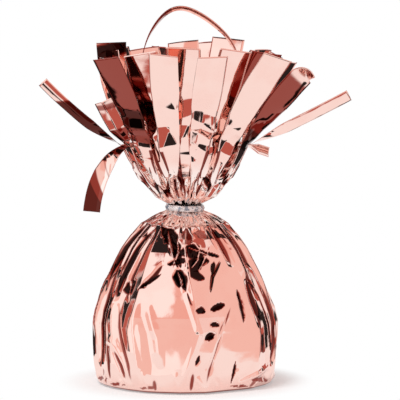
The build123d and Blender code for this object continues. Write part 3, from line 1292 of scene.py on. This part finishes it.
@dataclass
class Fringe:
    """Cut strips round the mouth of the bag, each on its own hinge.

    The splayed strips have forms of their own. The others have the even spread, some with a trimmed length.
    The bands are painted dark reflections across single strips. Strips are counted from 0 at the front. The
    least flat side is in metres.
    """

    ring: Ring
    length: float = 34.0
    length_spread: Range = (0.95, 1.02)
    outer_lean: float = 25.0
    inner_lean: float = 17.0
    lean_aside: float = 5.0
    lean_sway: float = 3.0
    lean_waves: int = 5
    curl: float = 5.0
    curl_ease: float = 0.6
    most_twist: float = 16.0
    most_bow: float = 0.4
    most_drift: float = 6.0
    crumple: Range = (0.9, 1.6)
    outer_widths: Range = (6.4, 9.6)
    inner_widths: Range = (5.0, 10.4)
    width_spread: Range = (0.92, 1.06)
    widening: float = 1.6
    film: float = 0.12
    tuck: float = 11.5
    tucked_lean: float = 37.0
    rim_lean: float = 25.0
    rim_bend: float = 0.25
    rim_bend_ease: float = 1.5
    tongue_width: float = 1.6
    tongue_ease: float = 0.8
    tip_roll_part: float = 0.16
    tip_roll_ease: float = 1.3
    creases: int = 3
    crease_length: Range = (3.2, 6.5)
    crumple_start: float = -0.25
    crumple_rise: float = 0.4
    crumple_end: float = 0.6
    # Painted shade along one edge of each strip's tongue.
    edge_share: float = 0.3
    edge_end: float = -0.8
    edge_shade: float = 0.7
    blend_below: float = 1.4
    blend_above: float = 2.2
    least_flat_side: float = 0.0102
    least_area_share: float = 0.31
    drooping_curl: float = 60.0
    steps: int = 84
    columns: int = 14
    ripple: Range = (9.0, 0.04)
    seed: int = 5
    crease_seed: int = 100
    ripple_seed: int = 200
    splayed: dict[int, StripForm] = field(default_factory=lambda: {
        2: StripForm(23, 6, 9, 34.5, 5.0, 10.2, bow=0.1, crumple=0.8, drift=4, twist_share=0.4),
        3: StripForm(33, 6, 16, 36, 6.4, 10.4, bow=0.1, crumple=0.8, drift=9, twist_share=0.3),
        4: StripForm(20, 10, 20, 33, 6.0, 11.0, bow=0.2, crumple=0.7, drift=-2),
        5: StripForm(34.5, 12, 36, 34, 6.4, 8.8, bow=0.6, crumple=0.4, tip_roll=120, drift=-3,
                     twist_share=0.5),
        6: StripForm(98, 10, 40, 9, 4.8, 5.6, bow=0.4, crumple=0.1, twist_share=0.6),
        7: StripForm(66, -4, 58, 34.5, 3.8, 4.2, bow=0.3, crumple=0.05, twist_share=0.35),
        8: StripForm(20, 3, 45, 30, 5.0, 9.5, bow=0.3, crumple=0.8),
        19: StripForm(22, -20, 48, 32, 6.4, 9.8, bow=0.3, crumple=0.9),
        20: StripForm(6, 4, -30, 29.5, 5.0, 8.8, bow=0.3, crumple=0.8),
        21: StripForm(62, -18, -62, 31, 3.8, 3.8, bow=0.3, crumple=0.1, twist_share=0.35),
        22: StripForm(34, -8, -52, 16, 5.6, 6.6, keel=1.3, crumple=0.5, twist_share=0.4),
        23: StripForm(112, 62, 64, 24, 4.4, 5.2, bow=0.6, crumple=0.2, twist_share=0.5),
        24: StripForm(19, 6, 8, 30, 5.0, 10.2, bow=0.3, crumple=1.2, drift=-2),
        25: StripForm(26.5, 5, -6, 32.5, 6.4, 9.8, bow=0.2, crumple=1.0, drift=-5),
    })
    bands: dict[int, tuple[Band, ...]] = field(default_factory=lambda: {
        4: (Band(-0.05, 0.5, 0.9), Band(0.44, 1.1, 0.5)),
        5: (Band(-0.05, 0.2, 0.85), Band(0.14, 0.84, 0.46)),
        19: (Band(0.84, 1.02, 0.95),),
        21: (Band(-0.1, 0.74, 0.82, 0.05),),
        22: (Band(0.1, 0.4, 0.5), Band(0.8, 0.95, 0.4)),
        23: (Band(0.0, 0.2, 0.6), Band(0.36, 0.41, 0.4, -0.1), Band(0.58, 0.8, 0.5, -0.14),
             Band(0.72, 1.2, 0.8, -0.12)),
        24: (Band(0.12, 0.32, 0.7), Band(0.32, 0.96, 0.5)),
        25: (Band(0.04, 0.26, 0.6), Band(0.2, 0.46, 0.85), Band(0.4, 1.1, 0.46)),
        26: (Band(0.3, 0.46, 0.85), Band(0.56, 0.66, 0.5)),
    })
    trims: dict[int, float] = field(default_factory=lambda: {
        9: -4.0, 10: -1.5, 12: 1.0, 13: 2.0, 16: -3.4, 17: -1.5, 18: -2.0, 26: -2.8,
    })

    def form(self, strip: int) -> StripForm:
        """Find how a strip stands, splayed or in the even spread.

        Args:
            strip: number of the strip.

        Returns:
            Its form.
        """
        if strip in self.splayed:
            return self.splayed[strip]
        draw = np.random.default_rng(self.seed + strip)
        azimuth = math.radians(strip * self.ring.pitch)
        sway = math.sin(self.lean_waves * azimuth)
        outer = self.ring.layer(strip) is Layer.OUTER
        lean = self.outer_lean if outer else self.inner_lean
        lean += self.lean_aside * math.sin(azimuth) + self.lean_sway * sway
        root_width, tip_width = self.outer_widths if outer else self.inner_widths
        grown = draw.uniform(*self.width_spread)
        return StripForm(
            lean=lean,
            curl=self.curl * (1 - sway),
            twist=float(draw.uniform(-self.most_twist, self.most_twist)),
            length=self.length * float(draw.uniform(*self.length_spread)) + self.trims.get(strip, 0.0),
            root_width=root_width,
            tip_width=tip_width * grown,
            bow=float(draw.uniform(-self.most_bow, self.most_bow)),
            crumple=float(draw.uniform(*self.crumple)),
            drift=float(draw.uniform(-self.most_drift, self.most_drift)),
        )

    def heading(self, form: StripForm, along: float) -> float:
        """Find the lean of a strip's middle line at one place.

        Args:
            form: form of the strip.
            along: length from the foot of its tongue.

        Returns:
            Its lean, in radians.
        """
        if along < self.tuck:
            near = along / self.tuck
            late = max(0.0, (near - 1 + self.rim_bend) / self.rim_bend)
            bend = (form.lean - self.rim_lean) * late**self.rim_bend_ease
            return math.radians(self.tucked_lean + (self.rim_lean - self.tucked_lean) * near + bend)
        free = max(0.0, (along - self.tuck) / form.length)
        late = max(0.0, (free - 1 + self.tip_roll_part) / self.tip_roll_part)
        roll = form.tip_roll * late**self.tip_roll_ease
        return math.radians(form.lean + form.curl * free**self.curl_ease + roll)

    def frames(self, strip: int) -> tuple[np.ndarray, np.ndarray, np.ndarray]:
        """Lay a strip's middle line from its tongue to its tip.

        Args:
            strip: number of the strip.

        Returns:
            Points of its middle line, and its directions across and outwards there.
        """
        form = self.form(strip)
        azimuth = strip * self.ring.pitch
        outwards, across = polar(1, azimuth, 0), polar(1, azimuth + 90, 0)
        shares = np.linspace(0, 1, self.steps + 1)
        middles, sides, faces = [], [], []
        place = np.zeros(3)
        length = form.length + self.tuck
        for share in shares:
            free = max(0.0, (share * length - self.tuck) / form.length)
            heading = self.heading(form, share * length)
            way = math.sin(heading) * outwards + math.cos(heading) * UP
            drift = math.radians(form.drift) * free
            way = math.cos(drift) * way + math.sin(drift) * across
            face = math.cos(heading) * outwards - math.sin(heading) * UP
            turn = math.radians(form.twist) * min(1.0, free / form.twist_share)
            side = math.cos(turn) * across + math.sin(turn) * face
            side = side - way * float(side @ way)
            side = side / np.linalg.norm(side)
            normal = np.cross(way, side)
            middles.append(place)
            sides.append(side)
            faces.append(normal * (1 if float(normal @ face) > 0 else -1))
            place = place + way * length / self.steps
        line = np.array(middles)
        hinge = [np.interp(self.tuck / length, shares, line[:, axis]) for axis in range(3)]
        return line + self.ring.root(strip) - hinge, np.array(sides), np.array(faces)

    def width(self, form: StripForm, along: float) -> float:
        """Find the width of a strip at one place.

        Args:
            form: form of the strip.
            along: length from its hinge, below 0 on its tongue.

        Returns:
            Its width.
        """
        if along < 0:
            grown = max(0.0, 1 + along / self.tuck) ** self.tongue_ease
            return self.tongue_width + (form.root_width - self.tongue_width) * grown
        grown = min(1.0, along / form.length * self.widening)
        return form.root_width + (form.tip_width - form.root_width) * grown

    def shaped(self, strip: int) -> FilmMesh:
        """Shape one strip: its spread, bow, keel, painted dark reflections and shade, and the crumple near
        its root.

        Args:
            strip: number of the strip.

        Returns:
            Its mesh, before it gets a thickness.
        """
        form = self.form(strip)
        draw = np.random.default_rng(self.seed + self.crease_seed + strip)
        middles, sides, faces = self.frames(strip)
        creases = [(draw.uniform(0, math.pi), draw.uniform(*self.crease_length), draw.uniform(*PHASES))
                   for _ in range(self.creases)]
        dark_edge = float(draw.choice((-1, 1)))
        points, deep = [], []
        for step in range(self.steps + 1):
            share = (step / self.steps * (form.length + self.tuck) - self.tuck) / form.length
            along_strip = share * form.length
            half_width = self.width(form, along_strip) / 2
            free = max(share, 0.0)
            begun = min(1.0, max(share - self.crumple_start, 0.0) / self.crumple_rise)
            rough = form.crumple * max(0.0, 1 - free / self.crumple_end) * begun
            for column in range(self.columns + 1):
                across = 2 * column / self.columns - 1
                shades = [band.at(along_strip / form.length, across) for band in self.bands.get(strip, ())]
                # Painted shade on one edge of the tongue.
                if along_strip < self.edge_end and across * dark_edge > 1 - self.edge_share:
                    shades.append(self.edge_shade)
                deep.append(max(shades, default=0.0))
                lift = form.bow * (1 - across**2) * min(1.0, 2 * free)
                lift += form.keel * (1 - abs(across)) * free
                for angle, length, start in creases:
                    along = (along_strip * math.sin(angle) + across * half_width * math.cos(angle)) / length
                    lift += rough * zigzag(along + start)
                points.append(middles[step] + sides[step] * across * half_width + faces[step] * lift)
        panels = FilmMesh.panels(self.steps + 1, self.columns + 1, False)
        film = FilmMesh(np.array(points), panels, np.array(deep))
        return film.rippled(*self.ripple, self.seed + self.ripple_seed + strip)

    def flat(self, form: StripForm) -> tuple[Range, float]:
        """Measure a strip with its tongue, laid flat.

        Args:
            form: form of the strip.

        Returns:
            Its width and length in metres, and the area of its film.
        """
        root_share = 0.5 / self.widening
        free_area = form.length * (root_share * form.root_width + (1 - root_share) * form.tip_width)
        cut_area = (free_area + self.tuck * (self.tongue_width + form.root_width) / 2) * MM * MM
        width = max(self.least_flat_side, form.tip_width * MM)
        length = max(self.least_flat_side, (form.length + self.tuck) * MM)
        return (width, length), min(max(cut_area, self.least_area_share * width * length), width * length)

    def build(self, finish: Finish) -> list[bpy.types.Object]:
        """Make every strip.

        Args:
            finish: finish of the film.

        Returns:
            The strips.
        """
        pieces = []
        for strip in range(self.ring.strips):
            form = self.form(strip)
            number = f"{strip + 1:02d}"
            piece = self.shaped(strip).made(f"strip_film_{number}", finish, self.film)
            root = self.ring.root(strip)
            lean = math.radians(form.lean)
            way = math.sin(lean) * polar(1, strip * self.ring.pitch, 0) + math.cos(lean) * UP
            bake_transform(piece)
            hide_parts(f"fringe_strip_{number}")
            flat, area = self.flat(form)
            held = Held.HUNG if form.curl > self.drooping_curl else Held.GATHERED
            pieces.append(piece)
        return pieces


class GeometryTree:
    """Builds one Geometry Nodes tree and runs it on an object."""

    def __init__(self, name: str, inputs: dict[str, float]) -> None:
        """Make the tree with a number input for each size.

        Args:
            name: name of the tree.
            inputs: sizes by their names.
        """
        self.tree = bpy.data.node_groups.new(name, "GeometryNodeTree")
        self.sizes = inputs
        self.tree.interface.new_socket("Geometry", in_out="OUTPUT", socket_type="NodeSocketGeometry")
        self.tree.interface.new_socket("Geometry", in_out="INPUT", socket_type="NodeSocketGeometry")
        self.identifiers = {}
        for label in inputs:
            socket = self.tree.interface.new_socket(label, in_out="INPUT", socket_type="NodeSocketFloat")
            self.identifiers[label] = socket.identifier
        self.source = self.tree.nodes.new("NodeGroupInput")
        self.sink = self.tree.nodes.new("NodeGroupOutput")

    def add(self, kind: str, settings: dict | None = None, sockets: dict | None = None) -> bpy.types.Node:
        """Add one node.

        Args:
            kind: Blender's type name of the node.
            settings: properties, set first.
            sockets: values, or (node, output) links, by the name or number of the input.

        Returns:
            The new node.
        """
        node = self.tree.nodes.new(kind)
        for name, setting in (settings or {}).items():
            setattr(node, name, setting)
        for name, source in (sockets or {}).items():
            if isinstance(source, tuple) and isinstance(source[0], bpy.types.Node):
                self.tree.links.new(source[0].outputs[source[1]], node.inputs[name])
            else:
                node.inputs[name].default_value = source
        return node

    def math(self, operation: str, *operands: Link | float) -> Link:
        """Add one Math node and link to its result."""
        return self.add("ShaderNodeMath", {"operation": operation}, dict(enumerate(operands))), 0

    def size(self, label: str) -> Link:
        """Link to a size that is an input of the tree."""
        return self.source, label

    def run(self, piece: bpy.types.Object, last: bpy.types.Node, finish: Finish) -> None:
        """Close the tree, run it on a piece and leave a plain mesh.

        Args:
            piece: object that carries the tree while it runs.
            last: node whose geometry is the result.
            finish: finish of the result.
        """
        real = self.add("GeometryNodeRealizeInstances", {}, {0: (last, 0)})
        sockets = {"Geometry": (real, 0), "Material": finish.material()}
        painted = self.add("GeometryNodeSetMaterial", {}, sockets)
        self.tree.links.new(painted.outputs[0], self.sink.inputs[0])
        modifier = piece.modifiers.new(self.tree.name, "NODES")
        modifier.node_group = self.tree
        for label, number in self.sizes.items():
            modifier[self.identifiers[label]] = number
        apply_modifiers(piece)


@dataclass
class RibbonLoop:
    """Narrow film ribbon above the fringe, with both ends down in the neck.

    The corners of its path are (x, height above the floor). The shaded part is a start and an end, as
    shares of the path, and a shade.
    """

    floor: float = 58.3
    foot_height: float = 60.3
    foot_spread: float = 1.5
    width: float = 3.0
    film: float = 0.25
    lean_over: float = 0.5
    lean_turn: float = 9.0
    shaded: tuple[float, float, float] = (0.2, 0.46, 0.55)
    corners: Corners = (
        (-9.0, 19.7), (-14.5, 38.7), (-12.3, 50.0), (-6.5, 58.3), (-0.5, 60.3), (8.0, 55.9), (15.8, 48.3),
        (17.6, 37.7), (10.0, 19.7),
    )
    path_steps: int = 12

    def path(self) -> bpy.types.Mesh:
        """Draw the ribbon's path.

        Returns:
            A line of edges, from foot to foot.
        """
        corners = [(-self.foot_spread, self.foot_height)]
        corners += [(x, self.floor + height) for x, height in self.corners]
        corners.append((self.foot_spread, self.foot_height))
        line = bpy.data.curves.new("ribbon_path", "CURVE")
        line.dimensions = "3D"
        spline = line.splines.new("NURBS")
        spline.points.add(len(corners) - 1)
        for point, (x, height) in zip(spline.points, corners):
            point.co = (x * MM, 0.0, height * MM, 1.0)
        spline.order_u = 3
        spline.use_endpoint_u = True
        spline.resolution_u = self.path_steps
        route = placed("ribbon_path", line)
        bpy.context.view_layer.update()
        drawn = bpy.data.meshes.new_from_object(route.evaluated_get(bpy.context.evaluated_depsgraph_get()))
        bpy.data.objects.remove(route)
        return drawn

    def build(self, finish: Finish) -> bpy.types.Object:
        """Sweep the ribbon along its path.

        Args:
            finish: finish of the film.

        Returns:
            The piece, on the loop's body.
        """
        piece = placed("ribbon_film", self.path())
        sizes = {"Width": self.width * MM, "Film": self.film * MM, "Lean": self.lean_over}
        tree = GeometryTree("ribbon_sweep", sizes)
        curve = tree.add("GeometryNodeMeshToCurve", {}, {"Mesh": (tree.source, "Geometry")})
        along = (tree.add("GeometryNodeSplineParameter"), "Factor")
        start, end, shade = self.shaded
        past, short = tree.math("GREATER_THAN", along, start), tree.math("LESS_THAN", along, end)
        dark = tree.math("MULTIPLY", tree.math("MULTIPLY", past, short), shade)
        curve = tree.add("GeometryNodeStoreNamedAttribute", {"data_type": "FLOAT", "domain": "POINT"},
                         {"Geometry": (curve, 0), "Name": PAINTED_SHADE, "Value": dark})
        sway = tree.math("SINE", tree.math("MULTIPLY", along, self.lean_turn))
        tilt = tree.math("MULTIPLY", sway, tree.size("Lean"))
        tilted = tree.add("GeometryNodeSetCurveTilt", {}, {"Curve": (curve, 0), "Tilt": tilt})
        outline = tree.add("GeometryNodeCurvePrimitiveQuadrilateral", {"mode": "RECTANGLE"},
                           {"Width": tree.size("Width"), "Height": tree.size("Film")})
        sweep = tree.add("GeometryNodeCurveToMesh", {},
                         {"Curve": (tilted, 0), "Profile Curve": (outline, 0), "Fill Caps": True})
        tree.run(piece, sweep, finish)
        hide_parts("ribbon_loop")
        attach(piece, "ribbon_loop")
        return piece


@dataclass
class TwistTie:
    """Silver twist tie: a crinkled foil band round the neck over its wire, and two twisted ends behind."""

    radius: float = 5.65
    middle: float = 55.3
    height: float = 1.8
    foil: float = 0.5
    rib: float = 0.5
    rib_angle: float = 60.0
    rib_steps: int = 7
    rib_seat: float = 0.6
    rib_bulge: float = 0.8
    crinkle: float = 0.28
    crinkle_scale: float = 900.0
    tilt: float = 2.0
    round_steps: int = 220
    seed: float = 3.7

    def outline(self) -> bpy.types.Object:
        """Draw the section of the band: flat foil with a rib over the wire.

        Returns:
            A closed curve.
        """
        half, wall = self.height / 2, self.foil / 2
        points = [(-wall, -half), (wall, -half)]
        for turn in np.radians(np.linspace(-self.rib_angle, self.rib_angle, self.rib_steps)):
            bulge = self.rib * math.cos(turn) * self.rib_bulge
            points.append((wall * self.rib_seat + bulge, self.rib * math.sin(turn)))
        points += [(wall, half), (-wall, half)]
        line = bpy.data.curves.new("tie_section", "CURVE")
        spline = line.splines.new("POLY")
        spline.points.add(len(points) - 1)
        for point, (x, y) in zip(spline.points, points):
            point.co = (x * MM, y * MM, 0.0, 1.0)
        spline.use_cyclic_u = True
        return placed("tie_section", line)

    def build(self, finish: Finish) -> bpy.types.Object:
        """Sweep the band round the neck.

        Args:
            finish: finish of the foil.

        Returns:
            The piece, on the bag's body.
        """
        section = self.outline()
        piece = placed("tie_foil_band", bpy.data.meshes.new("tie_foil_band"))
        tree = GeometryTree("tie_sweep", {"Radius": self.radius * MM, "Middle": self.middle * MM,
                                          "Crinkle": self.crinkle * MM, "Seed": self.seed})
        circle = tree.add("GeometryNodeCurvePrimitiveCircle", {"mode": "RADIUS"},
                          {"Resolution": self.round_steps, "Radius": tree.size("Radius")})
        drawn = tree.add("GeometryNodeObjectInfo", {"transform_space": "ORIGINAL"}, {"Object": section})
        sweep = tree.add("GeometryNodeCurveToMesh", {},
                         {"Curve": (circle, 0), "Profile Curve": (drawn, "Geometry")})
        sweep = tree.add("GeometryNodeTransform", {},
                         {"Geometry": (sweep, 0), "Rotation": (0.0, math.radians(self.tilt), 0.0)})
        place = tree.add("GeometryNodeInputPosition")
        sockets = {"Vector": (place, 0), "W": tree.size("Seed"), "Scale": self.crinkle_scale, "Detail": 1.0}
        noise = tree.add("ShaderNodeTexNoise", {"noise_dimensions": "4D"}, sockets)
        centred = tree.add("ShaderNodeVectorMath", {"operation": "SUBTRACT"},
                           {0: (noise, "Color"), 1: (0.5, 0.5, 0.5)})
        scaled = tree.add("ShaderNodeVectorMath", {"operation": "SCALE"},
                          {0: (centred, 0), "Scale": tree.size("Crinkle")})
        raise_up = tree.add("ShaderNodeCombineXYZ", {}, {"Z": tree.size("Middle")})
        moved = tree.add("ShaderNodeVectorMath", {"operation": "ADD"}, {0: (scaled, 0), 1: (raise_up, 0)})
        crinkled = tree.add("GeometryNodeSetPosition", {}, {"Geometry": (sweep, 0), "Offset": (moved, 0)})
        tree.run(piece, crinkled, finish)
        bpy.data.objects.remove(section)
        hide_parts("tie_band")
        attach(piece, "bag")
        return piece

    def dress(self, foil: Finish, wire: Finish) -> None:
        """Give the twisted ends and the wire their finishes.

        Args:
            foil: finish of the twisted ends.
            wire: finish of the wire.
        """
        for node in ("tie_end_left", "tie_end_right"):
            dress_node(node, foil)
        dress_node("tie_wire", wire)


@dataclass
class CastWeight:
    """Cement puck and its moulded cup, inside the bag."""

    cement: str = "cement_core"
    cup: str = "casting_cup"

    def dress(self, cement: Finish, plastic: Finish) -> None:
        """Give the puck and the cup their finishes."""
        dress_node(self.cement, cement)
        dress_node(self.cup, plastic)


@dataclass(frozen=True)
class StudioCard:
    """One soft panel, bounce card or dark flag of the studio, by direction in degrees."""

    azimuth: float
    half_width: float
    low: float
    high: float
    colour: Colour
    soft: float = 3.0

    def covers(self, azimuth: Value, height: Value) -> Value:
        """Find how far the card covers a direction.

        Args:
            azimuth: azimuth of the direction, in radians.
            height: its height above level, in radians.

        Returns:
            From 0 beside the card to 1 on it.
        """
        turn = (azimuth - math.radians(self.azimuth)).math("COSINE").math("ARCCOSINE")
        half, soft = math.radians(self.half_width), math.radians(self.soft)
        low, high = math.radians(self.low), math.radians(self.high)
        return turn.ramp(half + soft, half) * height.ramp(low - soft, low) * height.ramp(high + soft, high)


SOFT_PANEL: Colour = (1.1, 1.1, 1.1)
PALE_CARD: Colour = (0.97, 0.82, 0.79)
ROSE_CARD: Colour = (0.95, 0.68, 0.62)
DEEP_CARD: Colour = (0.92, 0.54, 0.47)
RED_CARD: Colour = (0.50, 0.13, 0.10)
BLACK_FLAG: Colour = (0.025, 0.02, 0.02)


@dataclass
class Studio:
    """White studio: floor, soft panels with dark gaps that the film reflects, one lamp and the camera.

    The scale is millimetres a pixel, and the axis pixel is where the foot's middle stands in the frame. The
    floor, the lamp and the camera's distance are in metres.
    """

    scale: float = 0.315
    axis_pixel: Range = (185.0, 382.0)
    frame_pixels: int = 400
    elevation: float = 5.5
    distance: float = 0.9
    nearest: float = 0.01
    sensor: float = 36.0
    floor_radius: float = 0.075
    floor_sides: int = 96
    floor_colour: Colour = (0.86, 0.86, 0.86)
    shadow_edge: Range = (0.0285, 0.042)
    shadow_white: float = 0.4
    lamp_place: tuple[float, float, float] = (-0.45, -0.55, 0.95)
    lamp_aim: tuple[float, float, float] = (0.0, 0.0, 0.05)
    lamp_size: float = 0.5
    lamp_power: float = 9.0
    cards: tuple[StudioCard, ...] = (
        StudioCard(8, 36, -9, 34, ROSE_CARD),
        StudioCard(-4, 24, 26, 50, DEEP_CARD, 6.0),
        StudioCard(40, 22, 26, 50, ROSE_CARD, 6.0),
        StudioCard(78, 22, -9, 48, ROSE_CARD),
        StudioCard(50, 4, -9, 30, PALE_CARD),
        StudioCard(-60, 30, -9, 60, SOFT_PANEL),
        StudioCard(-62, 5, -9, 30, ROSE_CARD),
        StudioCard(-97, 6, -9, 40, ROSE_CARD),
        StudioCard(-106, 3, -60, 50, BLACK_FLAG),
        StudioCard(-122, 9, -60, 56, RED_CARD),
        StudioCard(-139, 10, -60, 56, BLACK_FLAG),
        StudioCard(-160, 4, -60, 56, RED_CARD),
        StudioCard(104, 5, -60, 50, BLACK_FLAG),
        StudioCard(131, 10, -60, 50, RED_CARD),
        StudioCard(147, 7, -60, 56, BLACK_FLAG),
        StudioCard(164, 5, -9, 46, ROSE_CARD),
        StudioCard(-24, 12, -38, -18, RED_CARD),
        StudioCard(4, 9, -40, -20, BLACK_FLAG),
        StudioCard(34, 12, -38, -18, RED_CARD),
        StudioCard(60, 8, -40, -20, BLACK_FLAG),
        StudioCard(84, 9, -38, -18, RED_CARD),
        StudioCard(-58, 10, -40, -20, BLACK_FLAG),
        StudioCard(-84, 10, -38, -18, RED_CARD),
        StudioCard(10, 78, 54, 84, RED_CARD),
        StudioCard(0, 52, 55, 82, BLACK_FLAG),
        StudioCard(-4, 25, 44, 84, RED_CARD),
        StudioCard(-4, 22, 47, 82, BLACK_FLAG),
        StudioCard(110, 24, 56, 80, BLACK_FLAG),
        StudioCard(190, 50, 52, 82, RED_CARD),
        StudioCard(200, 26, 56, 80, BLACK_FLAG),
        StudioCard(-100, 22, 58, 82, BLACK_FLAG),
    )

    def build_world(self) -> None:
        """Make the world: white to the camera, panels and flags to everything that reflects."""
        world = bpy.data.worlds.new("studio")
        bpy.context.scene.world = world
        world.use_nodes = True
        tree = ShaderTree(world.node_tree)
        directions = tree.add("ShaderNodeTexCoord").outputs["Generated"]
        way = tree.add("ShaderNodeSeparateXYZ", {}, {0: directions})
        x, y, z = (Value(tree, way.outputs[axis]) for axis in "XYZ")
        azimuth = x.math("ARCTAN2", y * -1.0)
        height = z.math("ARCSINE")
        light: Paint = WHITE
        for card in self.cards:
            light = tree.mixed(card.covers(azimuth, height), light, card.colour)
        seen = tree.value("ShaderNodeLightPath", {}, {}, "Is Camera Ray")
        shown = tree.mixed(seen, light, WHITE)
        sky = tree.add("ShaderNodeBackground", {}, {"Color": shown, "Strength": 1.0})
        tree.add("ShaderNodeOutputWorld", {}, {"Surface": sky})

    def build_floor(self) -> None:
        """Make the white floor. It stays white to the camera and in the film, and keeps a soft shadow."""
        material = bpy.data.materials.new("studio_floor")
        material.use_nodes = True
        tree = ShaderTree(material.node_tree)
        paths = tree.add("ShaderNodeLightPath")
        camera, glossy, through = (Value(tree, paths.outputs[name]) for name in
                                   ("Is Camera Ray", "Is Glossy Ray", "Is Transmission Ray"))
        white = tree.add("ShaderNodeEmission", {}, {"Color": WHITE, "Strength": 1.0})
        board = tree.add("ShaderNodeBsdfDiffuse", {}, {"Color": self.floor_colour})
        far = tree.value("ShaderNodeVectorMath", {"operation": "LENGTH"}, {0: tree.places()}, "Value")
        white_share = self.shadow_white + (1 - self.shadow_white) * far.ramp(*self.shadow_edge)
        seen = camera.at_least(glossy).at_least(through) * white_share
        mixed = tree.add("ShaderNodeMixShader", {}, {0: seen, 1: board, 2: white})
        tree.add("ShaderNodeOutputMaterial", {}, {"Surface": mixed})
        mesh = bpy.data.meshes.new("studio_floor")
        made = bmesh.new()
        bmesh.ops.create_circle(made, cap_ends=True, segments=self.floor_sides, radius=self.floor_radius)
        made.to_mesh(mesh)
        made.free()
        mesh.materials.append(material)
        placed("studio_floor", mesh)

    def build_lamp(self) -> None:
        """Hang one large soft lamp above, to the left of the camera."""
        data = bpy.data.lights.new("soft_lamp", "AREA")
        data.shape = "DISK"
        data.size = self.lamp_size
        data.energy = self.lamp_power
        lamp = placed("soft_lamp", data)
        lamp.location = self.lamp_place
        lamp.visible_glossy = False
        aim = Vector(self.lamp_aim) - lamp.location
        lamp.rotation_euler = aim.to_track_quat("-Z", "Y").to_euler()

    def build_camera(self) -> None:
        """Set the camera up at the photograph's viewing angle and framing."""
        data = bpy.data.cameras.new("camera")
        half = self.frame_pixels / 2
        rise = math.radians(self.elevation)
        aim = Vector(((half - self.axis_pixel[0]) * self.scale * MM, 0.0,
                      (self.axis_pixel[1] - half) * self.scale * MM / math.cos(rise)))
        data.sensor_width = self.sensor
        data.lens = self.sensor * self.distance / (self.frame_pixels * self.scale * MM)
        data.clip_start = self.nearest
        camera = placed("camera", data)
        back = Vector((0.0, -math.cos(rise), math.sin(rise)))
        camera.location = aim + back * self.distance
        camera.rotation_euler = (-back).to_track_quat("-Z", "Y").to_euler()
        bpy.context.scene.camera = camera

    def build(self) -> None:
        """Build the whole studio."""
        bpy.context.scene.view_settings.view_transform = "Standard"
        self.build_world()
        self.build_floor()
        self.build_lamp()
        self.build_camera()


def main() -> None:
    """Build the studio and every piece, in order."""
    logging.basicConfig(level=logging.INFO, format="%(name)s: %(message)s")
    film, foil = FilmFinish(), FoilFinish()
    ring = Ring()
    Studio().build()
    CastWeight().dress(CementFinish(), CupFinish())
    tie = TwistTie()
    pieces = [
        FilmPouch().build(film),
        FilmRuff(ring).build(film),
        *Fringe(ring).build(film),
        RibbonLoop().build(film),
        tie.build(foil),
    ]
    tie.dress(foil, WireFinish())
    for piece in pieces:
        log.info("%s: %d faces", piece.name, len(piece.data.polygons))


if __name__ == "__main__":
    main()
